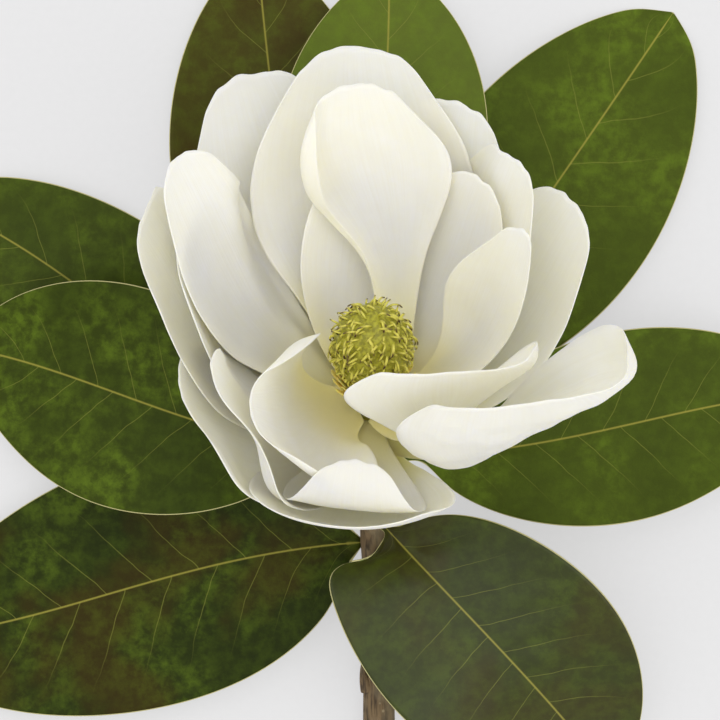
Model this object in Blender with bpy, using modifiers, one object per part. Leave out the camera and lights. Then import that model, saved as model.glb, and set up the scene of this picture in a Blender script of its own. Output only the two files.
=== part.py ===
"""A southern magnolia bloom, cut with a short woody twig and eight leaves, and laid down.

The twig lies along -Y on the surface z = 0. It bends up to the bloom, which looks up and
leans to +Y. The origin is the middle of the small flat on the twig's underside. Petals and
leaves are thin curved blades. Each later blade lies on the back of the earlier ones: the
petals from the innermost to the outermost, then the leaves from the highest to the lowest.
"""

import math
import random
from dataclasses import dataclass

import bmesh
import bpy
from mathutils import Matrix, Vector
from mathutils.bvhtree import BVHTree

MM = 0.001

# The bloom's place and lean
HEART = Vector((-3, 93, 58)) * MM
LEAN = math.radians(33)
AXIS = Vector((0, math.sin(LEAN), math.cos(LEAN)))
UPWARD = Vector((0, math.cos(LEAN), -math.sin(LEAN)))
SIDEWAYS = Vector((1, 0, 0))
BOWL_CENTRE = HEART + AXIS * 45 * MM

# The carpel cone and the short axis that carries stamens and petals
AXIS_RADIUS = 7.0 * MM
AXIS_FOOT = -24.5 * MM
CONE_START = 12 * MM
CONE_TOP = 49 * MM
CONE_RADIUS = 13.5 * MM
STYLE_COUNT = 64
STYLE_LENGTH = 8.5 * MM
STYLE_RADIUS = 1.3 * MM
STYLE_TIP_RADIUS = 0.55 * MM
STYLE_SINK = 2.2 * MM
STYLE_SIDES = 4
STYLE_STEPS = 3
CONE_BANDS = 9
CONE_TURNS = 16
GOLDEN_TURN = math.pi * (3 - math.sqrt(5))

# The stamens
STAMEN_COUNT = 46
STAMEN_LENGTH = 12.5 * MM
STAMEN_WIDTH = 2.4 * MM
STAMEN_THICK = 0.9 * MM
COLLAR_INNER = AXIS_RADIUS + 0.35 * MM
COLLAR_OUTER = AXIS_RADIUS + 2.6 * MM
COLLAR_START = 0.5 * MM
COLLAR_END = 5.0 * MM
COLLAR_TURNS = 20
STAMEN_TIP_SHARE = 0.55
STAMEN_SINK = 1.6 * MM

# The petals
PETAL_THICK = 0.7 * MM
PETAL_COLUMNS = 8
PETAL_ROWS = 9
PETAL_GAP = 1.7 * MM
CLAW_GAP = 0.9 * MM
FIRST_LEVEL = -1.0 * MM
LEVEL_STEP = -1.2 * MM
CLAW_OPEN = 82
CLAW_LEAN = 7
CLAW_END = 12 * MM
CLAW_FADE = 14 * MM
SEAT_GAP = 0.35 * MM
CLAW_SHARE = 0.20
CLAW_UNTIL = 0.25
CLAW_UNTIL_FADE = 0.2
ROW_SPREAD = 1.25
TIP_ROUND = 0.32
TIP_ROUND_POWER = 2.6
CUP_AT_CLAW = 1.25
WAVES_ALONG = 6.0
WAVES_ACROSS = 1.7
PHASE_STEP = 1.9

# How a blade's middle line leaves its seat, reaches its tip and curls
START_HANDLE = 0.40
END_HANDLE = 0.34
CURL_RUN = 0.14
CURL_SIDE_FROM = 0.5

# The leaves
LEAF_THICK = 0.8 * MM
MIDRIB_THICK = 2.6 * MM
LEAF_COLUMNS = 8
LEAF_ROWS = 15
LEAF_GAP = 3.2 * MM
STALK_GAP = 1.4 * MM
STALK_SEAT_GAP = 0.6 * MM
LEAF_HELD = 0.12
STALK_HALF_WIDTH = 2.1 * MM
POINT_HALF_WIDTH = 0.6 * MM
LEAF_ROUND = 0.58
COLUMN_SPREAD = 1.35
TIP_SPREAD = 0.6
LEAF_WAVES_ALONG = 9.0
LEAF_WAVES_ACROSS = 1.3
LEAF_PHASE_STEP = 2.3
RIDGE_HALF_WIDTH = 2 * MM
FLOOR_GAP = 0.1 * MM

# The twig and its side bud
TWIG_RADIUS = 6.2 * MM
TWIG_SIDES_RESOLUTION = 3
CUTTER_SIZE = (30 * MM, 400 * MM, 20 * MM)
BUD_PLACE = Vector((-4.6, -24, 8.0)) * MM
BUD_WAY = Vector((-0.34, 0.9, 0.3))
BUD_LENGTH = 12 * MM
BUD_RADIUS = 2.8 * MM
BUD_TIP_RADIUS = 0.5 * MM
BUD_BEND = math.radians(20)
BUD_SIDES = 8
BUD_STEPS = 3
HIDDEN_TWIG = 8 * MM

# How blades are pressed clear of each other
SETTLE_ROUNDS = 44
SETTLED = 0.03 * MM
DEEPEST = 24 * MM
STEEPEST = 0.25
LARGEST_PUSH = 3 * MM
PUSH_SPREAD = 0.4
SPINE_STEPS = 40
SECTION_STEPS = 10


@dataclass
class Petal:
    """One petal, in millimetres from the heart and degrees. Turns count round the axis from +X."""

    tip: tuple
    base_turn: float
    tip_turn: float
    half_width: float
    open_tip: float = 22
    cup: float = 42
    cup_end: float = 0.75
    curl_left: float = 0
    curl_right: float = 0
    curl_tip: float = 0
    curl_from: float = 0.76
    belly: float = 0.6
    slim: float = 0.7
    blunt: float = 0.62
    skew: float = 0
    wave: float = 1.0


@dataclass
class Leaf:
    """One leaf, in millimetres and degrees. Headings count on the surface from +X.

    The seat is how far along +Y the leaf's stalk stands on the twig.
    """

    seat: float
    tip: tuple
    base_heading: float
    tip_heading: float
    half_width: float
    base_rise: float = 0
    tip_rise: float = -8
    cup: float = 12
    roll: float = 0
    belly: float = 0.5
    lobe: float = 0
    stalk: float = 12
    closer: float = 0
    wave: float = 1.5


# From the innermost petal to the outermost
PETALS = [
    Petal(
        (-5, 112, 35), 66, 95, 36, cup=26, curl_left=165, open_tip=30,
        belly=0.78, slim=2.3, skew=0.15,
    ),
    Petal((54, 57, 62), 4, 42, 19, cup=46, curl_left=20, open_tip=12, blunt=0.55, skew=-0.3),
    Petal(
        (26, 8, 84), 312, 274, 44, cup=24, cup_end=0.7, curl_left=78,
        open_tip=4, blunt=0.8, belly=0.92, slim=2.8, skew=0.1,
    ),
    Petal((-43, -6, 70), 204, 188, 43, cup=56, cup_end=1.0, curl_right=50, open_tip=40, blunt=0.55),
    Petal((40, 78, 28), 50, 45, 27, cup=30),
    Petal((-7, 92, 12), 120, 104, 20, cup=25, open_tip=35),
    Petal((-6, 128, 15), 90, 91, 45, cup=36, open_tip=35),
    Petal(
        (-8, -33, 80), 262, 262, 26, cup=14, cup_end=0.3, curl_tip=45,
        curl_from=0.72, open_tip=0, blunt=0.66,
    ),
    Petal((-69, 86, 45), 154, 136, 28, cup=50, open_tip=38, skew=0.2),
    Petal((53, 84, 36), 26, 38, 29, cup=35),
    Petal((32, 108, 8), 64, 66, 36, cup=28, open_tip=35),
    Petal((-48, 119, 1), 120, 116, 41, cup=30, open_tip=40),
    Petal((-56, 6, 68), 224, 196, 31, cup=42),
    Petal((75, 68, 26), 12, 26, 38, cup=36, open_tip=30),
    Petal((-68, 60, 38), 178, 160, 38, cup=38),
    Petal(
        (44, -3, 98), 336, 274, 58, cup=30, cup_end=0.8, curl_left=90,
        curl_right=30, open_tip=-6, blunt=0.8, belly=0.85, slim=2.2, skew=0.32,
    ),
    Petal((-11, -46, 66), 266, 266, 40, cup=38, open_tip=22, blunt=0.8),
    Petal((-84, 62, 34), 182, 168, 42, cup=36, open_tip=25),
    Petal((-69, 0, 38), 206, 196, 38, cup=38, open_tip=25),
]

# From the lowest leaf to the highest
LEAVES = {
    "leaf_g": Leaf(34, (-191, -5, 1), 184, 184, 49, 0, -4, belly=0.42, stalk=5, closer=0.5),
    "leaf_e": Leaf(62, (-177, 168, 1), 158, 158, 37, -18, -2, stalk=20),
    "leaf_a": Leaf(74.5, (-48, 264, 1), 116, 96, 44, -18, -2, stalk=22),
    "leaf_c": Leaf(74, (116, 242, 1), 54, 56, 46, -18, -2, stalk=22),
    "leaf_f": Leaf(68.5, (-163, 110, 4), 174, 170, 43, 8, -16, stalk=20),
    "leaf_d": Leaf(68, (167, 92, 3), 0, 4, 37, 4, -16, stalk=14),
    "leaf_b": Leaf(77.5, (4, 258, 4), 90, 90, 41, -6, -12, belly=0.56, stalk=18, closer=0.4),
    "leaf_h": Leaf(42, (88, -56, 2), -46, -56, 45, 45, -38, cup=18, roll=5, lobe=32, stalk=7, closer=-0.1),
}

# The twig's middle line, from the cut end to the bloom
TWIG_ROUTE = [
    (-2, -125, 6.2),
    (-1, -95, 5.8),
    (0, -60, 5.6),
    (0, -20, 5.6),
    (0, 8, 5.6),
    (-1, 30, 6.8),
    (-2, 48, 11.5),
    (-2.6, 64, 20),
]


def smooth(value):
    """A soft step from 0 to 1."""
    value = min(max(value, 0.0), 1.0)
    return value * value * (3 - 2 * value)


def blend(low, high, share):
    """The value at a share of the way from low to high."""
    return low + (high - low) * share


def around(turn):
    """The direction away from the bloom's axis at a turn, in radians."""
    return SIDEWAYS * math.cos(turn) + UPWARD * math.sin(turn)


def opened(turn, angle):
    """The direction at a turn that stands at an angle to the bloom's axis."""
    return AXIS * math.cos(angle) + around(turn) * math.sin(angle)


def heading(turn, rise):
    """The direction at a turn on the surface that rises by an angle."""
    flat = Vector((math.cos(turn), math.sin(turn), 0))
    return flat * math.cos(rise) + Vector((0, 0, math.sin(rise)))


class Spine:
    """The middle line of a blade, with the blade's across and face directions along it."""

    def __init__(self, start, start_way, end, end_way, across, roll=0.0, curl_tip=0.0, curl_from=1.0):
        span = (end - start).length
        second = start + start_way * span * START_HANDLE
        third = end - end_way * span * END_HANDLE
        points = []
        for step in range(SPINE_STEPS + 1):
            t = step / SPINE_STEPS
            s = 1 - t
            bezier = start * s**3 + second * 3 * s * s * t + third * 3 * s * t * t + end * t**3
            points.append(bezier)
        self.points = [points[0]]
        self.frames = []
        for step in range(SPINE_STEPS):
            share = step / (SPINE_STEPS - 1)
            piece = points[step + 1] - points[step]
            way = piece.normalized()
            side = across[0].lerp(across[1], share)
            side = (side - way * side.dot(way)).normalized()
            side = Matrix.Rotation(roll, 3, way) @ side
            way = Matrix.Rotation(-curl_tip * smooth((share - curl_from) / CURL_RUN), 3, side) @ way
            self.frames.append((side, way.cross(side)))
            self.points.append(self.points[-1] + way * piece.length)
        self.frames.append(self.frames[-1])
        self.lengths = [0.0]
        for step in range(SPINE_STEPS):
            piece = self.points[step + 1] - self.points[step]
            self.lengths.append(self.lengths[-1] + piece.length)
        self.length = self.lengths[-1]

    def at(self, share):
        """Place, across direction and face direction at a share of the length."""
        wanted = min(max(share, 0.0), 1.0) * self.length
        step = 0
        while step < SPINE_STEPS - 1 and self.lengths[step + 1] < wanted:
            step += 1
        inside = (wanted - self.lengths[step]) / (self.lengths[step + 1] - self.lengths[step])
        place = self.points[step].lerp(self.points[step + 1], inside)
        side = self.frames[step][0].lerp(self.frames[step + 1][0], inside).normalized()
        face = self.frames[step][1].lerp(self.frames[step + 1][1], inside).normalized()
        return place, side, face


def section(share, width, cup, curl):
    """How far across and up a blade's section reaches at a share of its half width."""
    across = 0.0
    up = 0.0
    for step in range(SECTION_STEPS):
        part = share * (step + 0.5) / SECTION_STEPS
        angle = cup * part + curl * smooth((part - CURL_SIDE_FROM) / (1 - CURL_SIDE_FROM))
        across += math.cos(angle) * width * share / SECTION_STEPS
        up += math.sin(angle) * width * share / SECTION_STEPS
    return across, up


def petal_outline(petal, share):
    """Half width of a petal along its length: a narrow claw, then broad, then round."""
    if share < petal.belly:
        return blend(CLAW_SHARE, 1.0, smooth(share / petal.belly) ** petal.slim)
    return blend(1.0, petal.blunt, ((share - petal.belly) / (1 - petal.belly)) ** 2)


def claw_open(turn):
    """The angle between the axis and the claws at a turn: they spread more on the low side."""
    return math.radians(CLAW_OPEN - CLAW_LEAN * math.sin(turn))


def from_axis(place):
    """A place's height along the bloom's axis, its distance from the axis and its turn round it."""
    away = place - HEART
    height = away.dot(AXIS)
    flat = away - AXIS * height
    return height, flat.length, math.atan2(flat.dot(UPWARD), flat.dot(SIDEWAYS))


def nested(level, place, along):
    """Lays a claw's point on its petal's own cone, so that all the claws stack clear."""
    height, radius, turn = from_axis(place)
    wanted = level + (radius - AXIS_RADIUS) / math.tan(claw_open(turn))
    near_axis = 1 - smooth((radius - CLAW_END) / CLAW_FADE)
    share = near_axis * (1 - smooth((along - CLAW_UNTIL) / CLAW_UNTIL_FADE))
    return place + AXIS * (wanted - height) * share


def petal_spine(petal, level):
    """The middle line of a petal that grows out of the axis at its level."""
    base_turn = math.radians(petal.base_turn)
    tip_turn = math.radians(petal.tip_turn)
    root = HEART + AXIS * level + around(base_turn) * (AXIS_RADIUS + SEAT_GAP)
    quarter = math.pi / 2
    return Spine(
        root,
        opened(base_turn, claw_open(base_turn)),
        HEART + Vector(petal.tip) * MM,
        opened(tip_turn, math.radians(petal.open_tip)),
        (around(base_turn + quarter), around(tip_turn + quarter)),
        curl_tip=math.radians(petal.curl_tip),
        curl_from=petal.curl_from,
    )


def petal_point(petal, spine, level, phase, along, across):
    """A point of a petal's middle surface. Along runs 0 to 1, across -1 to 1."""
    reach = along - TIP_ROUND * (1 - petal.blunt) * abs(across) ** TIP_ROUND_POWER * along**2
    place, side, face = spine.at(reach)
    width = petal.half_width * MM * petal_outline(petal, along)
    width *= 1 + math.copysign(petal.skew, across) * smooth((along - 0.1) / 0.4)
    curl = petal.curl_left if across > 0 else petal.curl_right
    opened_out = smooth((along - 0.15) / 0.4)
    cup = math.radians(petal.cup) * smooth(along / 0.3) * blend(CUP_AT_CLAW, petal.cup_end, along)
    out, up = section(abs(across), width, cup, math.radians(curl) * opened_out)
    wave = math.sin(WAVES_ALONG * along + phase + WAVES_ACROSS * across) * petal.wave * MM
    up += wave * abs(across) ** 1.5 * smooth(along / 0.5)
    return nested(level, place + side * math.copysign(out, across) + face * up, along)


def leaf_outline(leaf, share, length):
    """Half width of a leaf along its length: a stalk, then an ellipse with a short point."""
    stalk = leaf.stalk * MM / length
    if share <= stalk:
        return STALK_HALF_WIDTH
    inside = min((share - stalk) / (1 - stalk), 1.0)
    power = math.log(0.5) / math.log(leaf.belly)
    ellipse = math.sin(math.pi * inside**power) ** LEAF_ROUND if inside < 1 else 0.0
    return max(leaf.half_width * MM * ellipse, blend(STALK_HALF_WIDTH, POINT_HALF_WIDTH, inside))


def twig_route():
    """The twig's middle line, from its cut end to the foot of the bloom's axis."""
    top = HEART + AXIS * (AXIS_FOOT - SEAT_GAP)
    return [Vector(place) * MM for place in TWIG_ROUTE] + [top - AXIS * HIDDEN_TWIG, top]


def twig_radius(y):
    """The twig's radius, which tapers a little towards the bloom."""
    return TWIG_RADIUS * blend(1.0, 0.9, smooth((y / MM - 10) / 60))


def leaf_seat(leaf, way, face):
    """The middle of a leaf's upper face where its stalk stands on the twig's bark."""
    y = leaf.seat * MM
    route = twig_route()
    step = max(index for index, place in enumerate(route[:-1]) if place.y <= y)
    first, second = route[step], route[step + 1]
    middle = first.lerp(second, (y - first.y) / (second.y - first.y))
    along = (second - first).normalized()
    out = (way - along * way.dot(along)).normalized()
    half = MIDRIB_THICK / 2
    away = twig_radius(y) + STALK_SEAT_GAP - leaf.closer * MM + half * abs(face.dot(out))
    return middle + out * away + face * half


def leaf_spine(leaf):
    """The middle line of a leaf's upper face, from its seat on the twig to its tip."""
    base_turn = math.radians(leaf.base_heading)
    tip_turn = math.radians(leaf.tip_heading)
    quarter = math.pi / 2
    way = heading(base_turn, math.radians(leaf.base_rise))
    side = heading(base_turn + quarter, 0)
    return Spine(
        leaf_seat(leaf, way, way.cross(side)),
        way,
        Vector(leaf.tip) * MM,
        heading(tip_turn, math.radians(leaf.tip_rise)),
        (side, heading(tip_turn + quarter, 0)),
        roll=math.radians(leaf.roll),
    )


def leaf_point(leaf, spine, phase, along, across):
    """A point of a leaf's upper surface. Along runs 0 to 1, across -1 to 1."""
    place, side, face = spine.at(along)
    width = leaf_outline(leaf, along, spine.length)
    blade = smooth((width / MM - 3) / 12)
    even = across
    across = math.copysign(abs(across) ** blend(1.0, COLUMN_SPREAD, blade), across)
    out, up = section(abs(across), width, math.radians(leaf.cup) * blade, 0)
    wave = math.sin(LEAF_WAVES_ALONG * along + phase + LEAF_WAVES_ACROSS * even) * leaf.wave * MM
    up += wave * abs(even) ** 1.5 * blade
    back = -heading(math.radians(leaf.base_heading), 0) * leaf.lobe * MM
    back *= (1 - along) * max(-even, 0) ** 1.2 * smooth((width / MM - 8) / 25)
    return place + side * math.copysign(out, across) + face * up + back


def blade_grid(columns, rows, point_at, spread):
    """An open sheet whose points come from point_at(along, across), facing the blade's face."""
    sheet = bmesh.new()
    bmesh.ops.create_grid(sheet, x_segments=rows, y_segments=columns, size=1.0)
    along_layer = sheet.verts.layers.float.new("along")
    for vertex in sheet.verts:
        along = spread((vertex.co.x + 1) / 2)
        vertex[along_layer] = along
        vertex.co = point_at(along, vertex.co.y)
    bmesh.ops.triangulate(sheet, faces=sheet.faces[:], quad_method="SHORT_EDGE")
    sheet.normal_update()
    return sheet


def off_the_bowl(place):
    """The direction in which a petal is pressed: away from the middle of the bowl of petals."""
    return (place - BOWL_CENTRE).normalized()


def petal_freedom(place, along):
    """How freely a petal's point moves: the claws stay on the axis."""
    height, radius, turn = from_axis(place)
    return smooth((radius - 9 * MM) / (8 * MM)) if along < 0.4 else 1.0


def petal_gap(place):
    """How far apart petals lie at a place: closer at the claws."""
    height, radius, turn = from_axis(place)
    return blend(CLAW_GAP, PETAL_GAP, smooth((radius - CLAW_END) / CLAW_FADE))


def upwards(place):
    """The direction in which a leaf is pressed."""
    return Vector((0, 0, 1))


def leaf_freedom(place, along):
    """How freely a leaf's point moves: the stalk stays on the twig."""
    return smooth(along / LEAF_HELD)


def leaf_gap(place):
    """How far apart leaves lie at a place: closer at the twig."""
    away = max(abs(place.x), place.y - 80 * MM, 60 * MM - place.y, 0.0)
    return blend(STALK_GAP, LEAF_GAP, smooth((away - 12 * MM) / (12 * MM)))


def press(place, way, tree, gap, inner):
    """How far along a way a point must move to lie a gap beyond a sheet, and the face it met.

    Inner is 1 for a point that belongs beyond the sheet and -1 for one that the sheet lies beyond.
    """
    spot, normal, index, distance = tree.ray_cast(place, way * inner, DEEPEST)
    if spot is not None and abs(normal.dot(way)) > STEEPEST:
        return distance + gap / max(abs(normal.dot(way)), 0.5), index
    spot, normal, index, distance = tree.ray_cast(place, way * -inner, gap * 2)
    if spot is not None and abs(normal.dot(way)) > STEEPEST:
        needed = gap / max(abs(normal.dot(way)), 0.5)
        return max(needed - distance, 0.0), index
    return None, None


def beside(place, tree, gap):
    """How a point moves to lie a gap away from a sheet that it has only beside it."""
    spot, normal, index, distance = tree.find_nearest(place, gap)
    if spot is None or distance < 1e-7:
        return None, None
    return (place - spot).normalized() * (gap - distance), index


def settle(sheet, earlier, gap_at, outward, freedom, floor_layer=None):
    """Presses a sheet outward until it clears all the earlier sheets, and up off the floor."""
    along_layer = sheet.verts.layers.float["along"]
    free = [freedom(vertex.co, vertex[along_layer]) for vertex in sheet.verts]
    for settle_round in range(SETTLE_ROUNDS):
        sheet.normal_update()
        sheet.verts.ensure_lookup_table()
        sheet.faces.ensure_lookup_table()
        own_tree = BVHTree.FromBMesh(sheet)
        pushes = [Vector() for vertex in sheet.verts]
        low, high = corners([vertex.co for vertex in sheet.verts])

        def record(vertices, push):
            for vertex in vertices:
                if push.length > pushes[vertex.index].length:
                    pushes[vertex.index] = push

        for tree, points, other_low, other_high in earlier:
            if any(low[k] > other_high[k] or high[k] < other_low[k] for k in range(3)):
                continue
            for place, vertices in own_points(sheet):
                way = outward(place)
                amount, index = press(place, way, tree, gap_at(place), 1)
                if amount is not None:
                    record(vertices, way * amount)
                    continue
                push, index = beside(place, tree, gap_at(place))
                if push is not None:
                    record(vertices, push)
            for point in points:
                way = outward(point)
                amount, index = press(point, way, own_tree, gap_at(point), -1)
                if amount is not None:
                    record(sheet.faces[index].verts, way * amount)
                    continue
                push, index = beside(point, own_tree, gap_at(point))
                if push is not None:
                    record(sheet.faces[index].verts, -push)
        if max(push.length for push in pushes) < SETTLED:
            break
        for vertex in sheet.verts:
            near = [edge.other_vert(vertex).index for edge in vertex.link_edges]
            mean = sum((pushes[index] for index in near), Vector()) / len(near)
            push = pushes[vertex.index].lerp(mean, PUSH_SPREAD)
            if push.length > LARGEST_PUSH:
                push = push.normalized() * LARGEST_PUSH
            vertex.co += push * free[vertex.index]
            if floor_layer is not None:
                vertex.co.z = max(vertex.co.z, vertex[floor_layer] + FLOOR_GAP)
    sheet.normal_update()


def own_points(sheet):
    """A sheet's corners and the middles of its edges, each with the corners that carry it."""
    for vertex in sheet.verts:
        yield vertex.co.copy(), (vertex,)
    for edge in sheet.edges:
        yield (edge.verts[0].co + edge.verts[1].co) / 2, tuple(edge.verts)


def corners(points):
    """The lowest and highest corner round some points, with the settling reach added."""
    low = Vector([min(point[k] for point in points) - 2 * MM for k in range(3)])
    high = Vector([max(point[k] for point in points) + 2 * MM for k in range(3)])
    return low, high


def remember(sheet, earlier):
    """Adds a settled sheet to the ones that later sheets keep clear of."""
    points = [place for place, vertices in own_points(sheet)]
    low, high = corners([vertex.co for vertex in sheet.verts])
    earlier.append((BVHTree.FromBMesh(sheet), points, low, high))


def material(name, colour, roughness):
    """A plain surface with the piece's own colour."""
    finish = bpy.data.materials.new(name)
    finish.use_nodes = True
    shader = finish.node_tree.nodes["Principled BSDF"]
    shader.inputs["Base Color"].default_value = (*colour, 1)
    shader.inputs["Roughness"].default_value = roughness
    return finish


def new_object(name, mesh, collection, finish=None):
    """A named object in a collection."""
    thing = bpy.data.objects.new(name, mesh)
    collection.objects.link(thing)
    if finish is not None:
        mesh.materials.append(finish)
    return thing


def bmesh_object(name, shape, collection, finish=None):
    """A named object from a bmesh, which is used up."""
    mesh = bpy.data.meshes.new(name)
    shape.to_mesh(mesh)
    shape.free()
    return new_object(name, mesh, collection, finish)


def add_petals(collection, earlier):
    """The petals, each a thin cupped blade seated on the axis."""
    for number, petal in enumerate(PETALS):
        finish = material(f"petal_{number + 1:02d}_cream", (0.86, 0.84, 0.72), 0.45)
        level = FIRST_LEVEL + number * LEVEL_STEP
        spine = petal_spine(petal, level)
        phase = PHASE_STEP * number

        def point_at(along, across, petal=petal, spine=spine, level=level, phase=phase):
            return petal_point(petal, spine, level, phase, along, across)

        sheet = blade_grid(PETAL_COLUMNS, PETAL_ROWS, point_at, lambda even: even**ROW_SPREAD)
        settle(sheet, earlier, petal_gap, off_the_bowl, petal_freedom)
        remember(sheet, earlier)
        blade = bmesh_object(f"petal_{number + 1:02d}", sheet, collection, finish)
        wall = blade.modifiers.new("wall", "SOLIDIFY")
        wall.thickness = PETAL_THICK
        wall.offset = 0
        blade.data.shade_smooth()


def leaf_thickness(leaf, spine, place, along):
    """The wall below a leaf's upper face: thickest at the stalk and along the midrib."""
    middle, side, face = spine.at(along)
    width = leaf_outline(leaf, along, spine.length)
    stalk = 1 - smooth((width / MM - 3) / 10)
    ridge = blend(0.9, 0.2, along) if (place - middle).length < RIDGE_HALF_WIDTH else 0.0
    share = max(stalk, ridge) * (1 - smooth((along - 0.9) / 0.1))
    return blend(LEAF_THICK, MIDRIB_THICK, share)


def add_leaves(collection):
    """The leaves, each a thin blade with a thicker midrib that runs on as its stalk."""
    lower = []
    for number, (name, leaf) in enumerate(LEAVES.items()):
        finish = material(f"{name}_green", (0.05, 0.09, 0.02), 0.35)
        spine = leaf_spine(leaf)
        phase = LEAF_PHASE_STEP * number

        def point_at(along, across, leaf=leaf, spine=spine, phase=phase):
            return leaf_point(leaf, spine, phase, along, across)

        def spread(even):
            return blend(even, (1 - math.cos(math.pi * even)) / 2, TIP_SPREAD)

        sheet = blade_grid(LEAF_COLUMNS, LEAF_ROWS, point_at, spread)
        thick_layer = sheet.verts.layers.float.new("thick")
        along_layer = sheet.verts.layers.float["along"]
        for vertex in sheet.verts:
            vertex[thick_layer] = leaf_thickness(leaf, spine, vertex.co, vertex[along_layer])
        settle(sheet, lower, leaf_gap, upwards, leaf_freedom, thick_layer)
        remember(sheet, lower)
        blade = bmesh_object(name, sheet, collection, finish)
        thicken(blade)
        blade.data.shade_smooth()


def thicken(blade):
    """Gives a leaf its wall below the upper face, as thick as its points say."""
    group = blade.vertex_groups.new(name="midrib")
    shares = [
        (item.value - LEAF_THICK) / (MIDRIB_THICK - LEAF_THICK)
        for item in blade.data.attributes["thick"].data
    ]
    for index, share in enumerate(shares):
        group.add([index], share, "REPLACE")
    wall = blade.modifiers.new("wall", "SOLIDIFY")
    wall.thickness = MIDRIB_THICK
    wall.offset = -1
    wall.vertex_group = "midrib"
    wall.thickness_vertex_group = LEAF_THICK / MIDRIB_THICK


def add_twig(collection):
    """The woody twig: a bent rod with a cut end, a side bud and a small flat to rest on."""
    route = twig_route()
    line = bpy.data.curves.new("twig_line", "CURVE")
    line.dimensions = "3D"
    line.bevel_depth = TWIG_RADIUS
    line.bevel_resolution = TWIG_SIDES_RESOLUTION
    line.use_fill_caps = True
    spline = line.splines.new("POLY")
    spline.points.add(len(route) - 1)
    for point, place in zip(spline.points, route):
        point.co = (*place, 1)
        point.radius = twig_radius(place.y) / TWIG_RADIUS
    rod = bpy.data.objects.new("twig_rod", line)
    collection.objects.link(rod)
    bpy.context.view_layer.update()
    evaluated = rod.evaluated_get(bpy.context.evaluated_depsgraph_get())
    mesh = bpy.data.meshes.new_from_object(evaluated)
    shape = bmesh.new()
    shape.from_mesh(mesh)
    bmesh.ops.remove_doubles(shape, verts=shape.verts, dist=0.01 * MM)
    bpy.data.objects.remove(rod)
    bpy.data.meshes.remove(mesh)
    twig = bmesh_object("stem", shape, collection, material("stem_bark", (0.16, 0.11, 0.07), 0.8))
    twig.data.shade_smooth()
    twig.data.set_sharp_from_angle(angle=math.radians(50))
    block = bmesh.new()
    bmesh.ops.create_cube(block, size=1.0)
    bmesh.ops.scale(block, verts=block.verts, vec=CUTTER_SIZE)
    bmesh.ops.translate(block, verts=block.verts, vec=(0, 0, -CUTTER_SIZE[2] / 2))
    cutter = bmesh_object("floor_cutter", block, collection)
    flat = twig.modifiers.new("resting_flat", "BOOLEAN")
    flat.operation = "DIFFERENCE"
    flat.object = cutter
    bud = bent_horn(BUD_LENGTH, BUD_RADIUS, BUD_TIP_RADIUS, BUD_BEND, BUD_SIDES, BUD_STEPS)
    bmesh.ops.transform(bud, matrix=stand_on(BUD_PLACE, BUD_WAY, SIDEWAYS), verts=bud.verts)
    buds = bpy.data.collections.new("buds")
    bpy.context.scene.collection.children.link(buds)
    bmesh_object("side_bud", bud, buds)
    join_all(twig, buds, "EXACT")
    bpy.data.objects.remove(cutter)


def bent_horn(length, radius, tip_radius, bend, sides, steps):
    """A tapered horn along +Z from the origin that bends to +X, as a closed shape."""
    horn = bmesh.new()
    bmesh.ops.create_cone(
        horn, cap_ends=True, segments=sides, radius1=radius, radius2=tip_radius, depth=length,
    )
    bmesh.ops.translate(horn, verts=horn.verts, vec=(0, 0, length / 2))
    sloping = [edge for edge in horn.edges if abs(edge.verts[0].co.z - edge.verts[1].co.z) > length / 2]
    bmesh.ops.subdivide_edges(horn, edges=sloping, cuts=steps - 1, use_grid_fill=True)
    for vertex in horn.verts:
        angle = bend * vertex.co.z / length
        rise = length * math.sin(angle) / bend
        sweep = length * (1 - math.cos(angle)) / bend
        beside_line = vertex.co.x
        vertex.co.x = sweep + beside_line * math.cos(angle)
        vertex.co.z = rise - beside_line * math.sin(angle)
    return horn


def stand_on(place, outward, along):
    """The matrix that stands a shape's +Z along outward and its +X near along, at a place."""
    z = outward.normalized()
    x = (along - z * along.dot(z)).normalized()
    y = z.cross(x)
    turn = Matrix((x, y, z)).transposed().to_4x4()
    return Matrix.Translation(place) @ turn


def join_all(base, pieces, solver):
    """Fuses a collection of pieces into the base and drops them."""
    union = base.modifiers.new("grown_together", "BOOLEAN")
    union.operation = "UNION"
    union.operand_type = "COLLECTION"
    union.collection = pieces
    union.solver = solver
    bpy.context.view_layer.update()
    graph = bpy.context.evaluated_depsgraph_get()
    mesh = bpy.data.meshes.new_from_object(base.evaluated_get(graph))
    base.modifiers.clear()
    base.data = mesh
    for piece in list(pieces.objects):
        bpy.data.objects.remove(piece)
    bpy.data.collections.remove(pieces)


def cone_radius(height):
    """Radius of the green cone at a height along the bloom's axis."""
    middle = (CONE_START + CONE_TOP) / 2
    half = (CONE_TOP - CONE_START) / 2
    return CONE_RADIUS * math.sqrt(max(0.0, 1 - ((height - middle) / half) ** 2))


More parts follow.
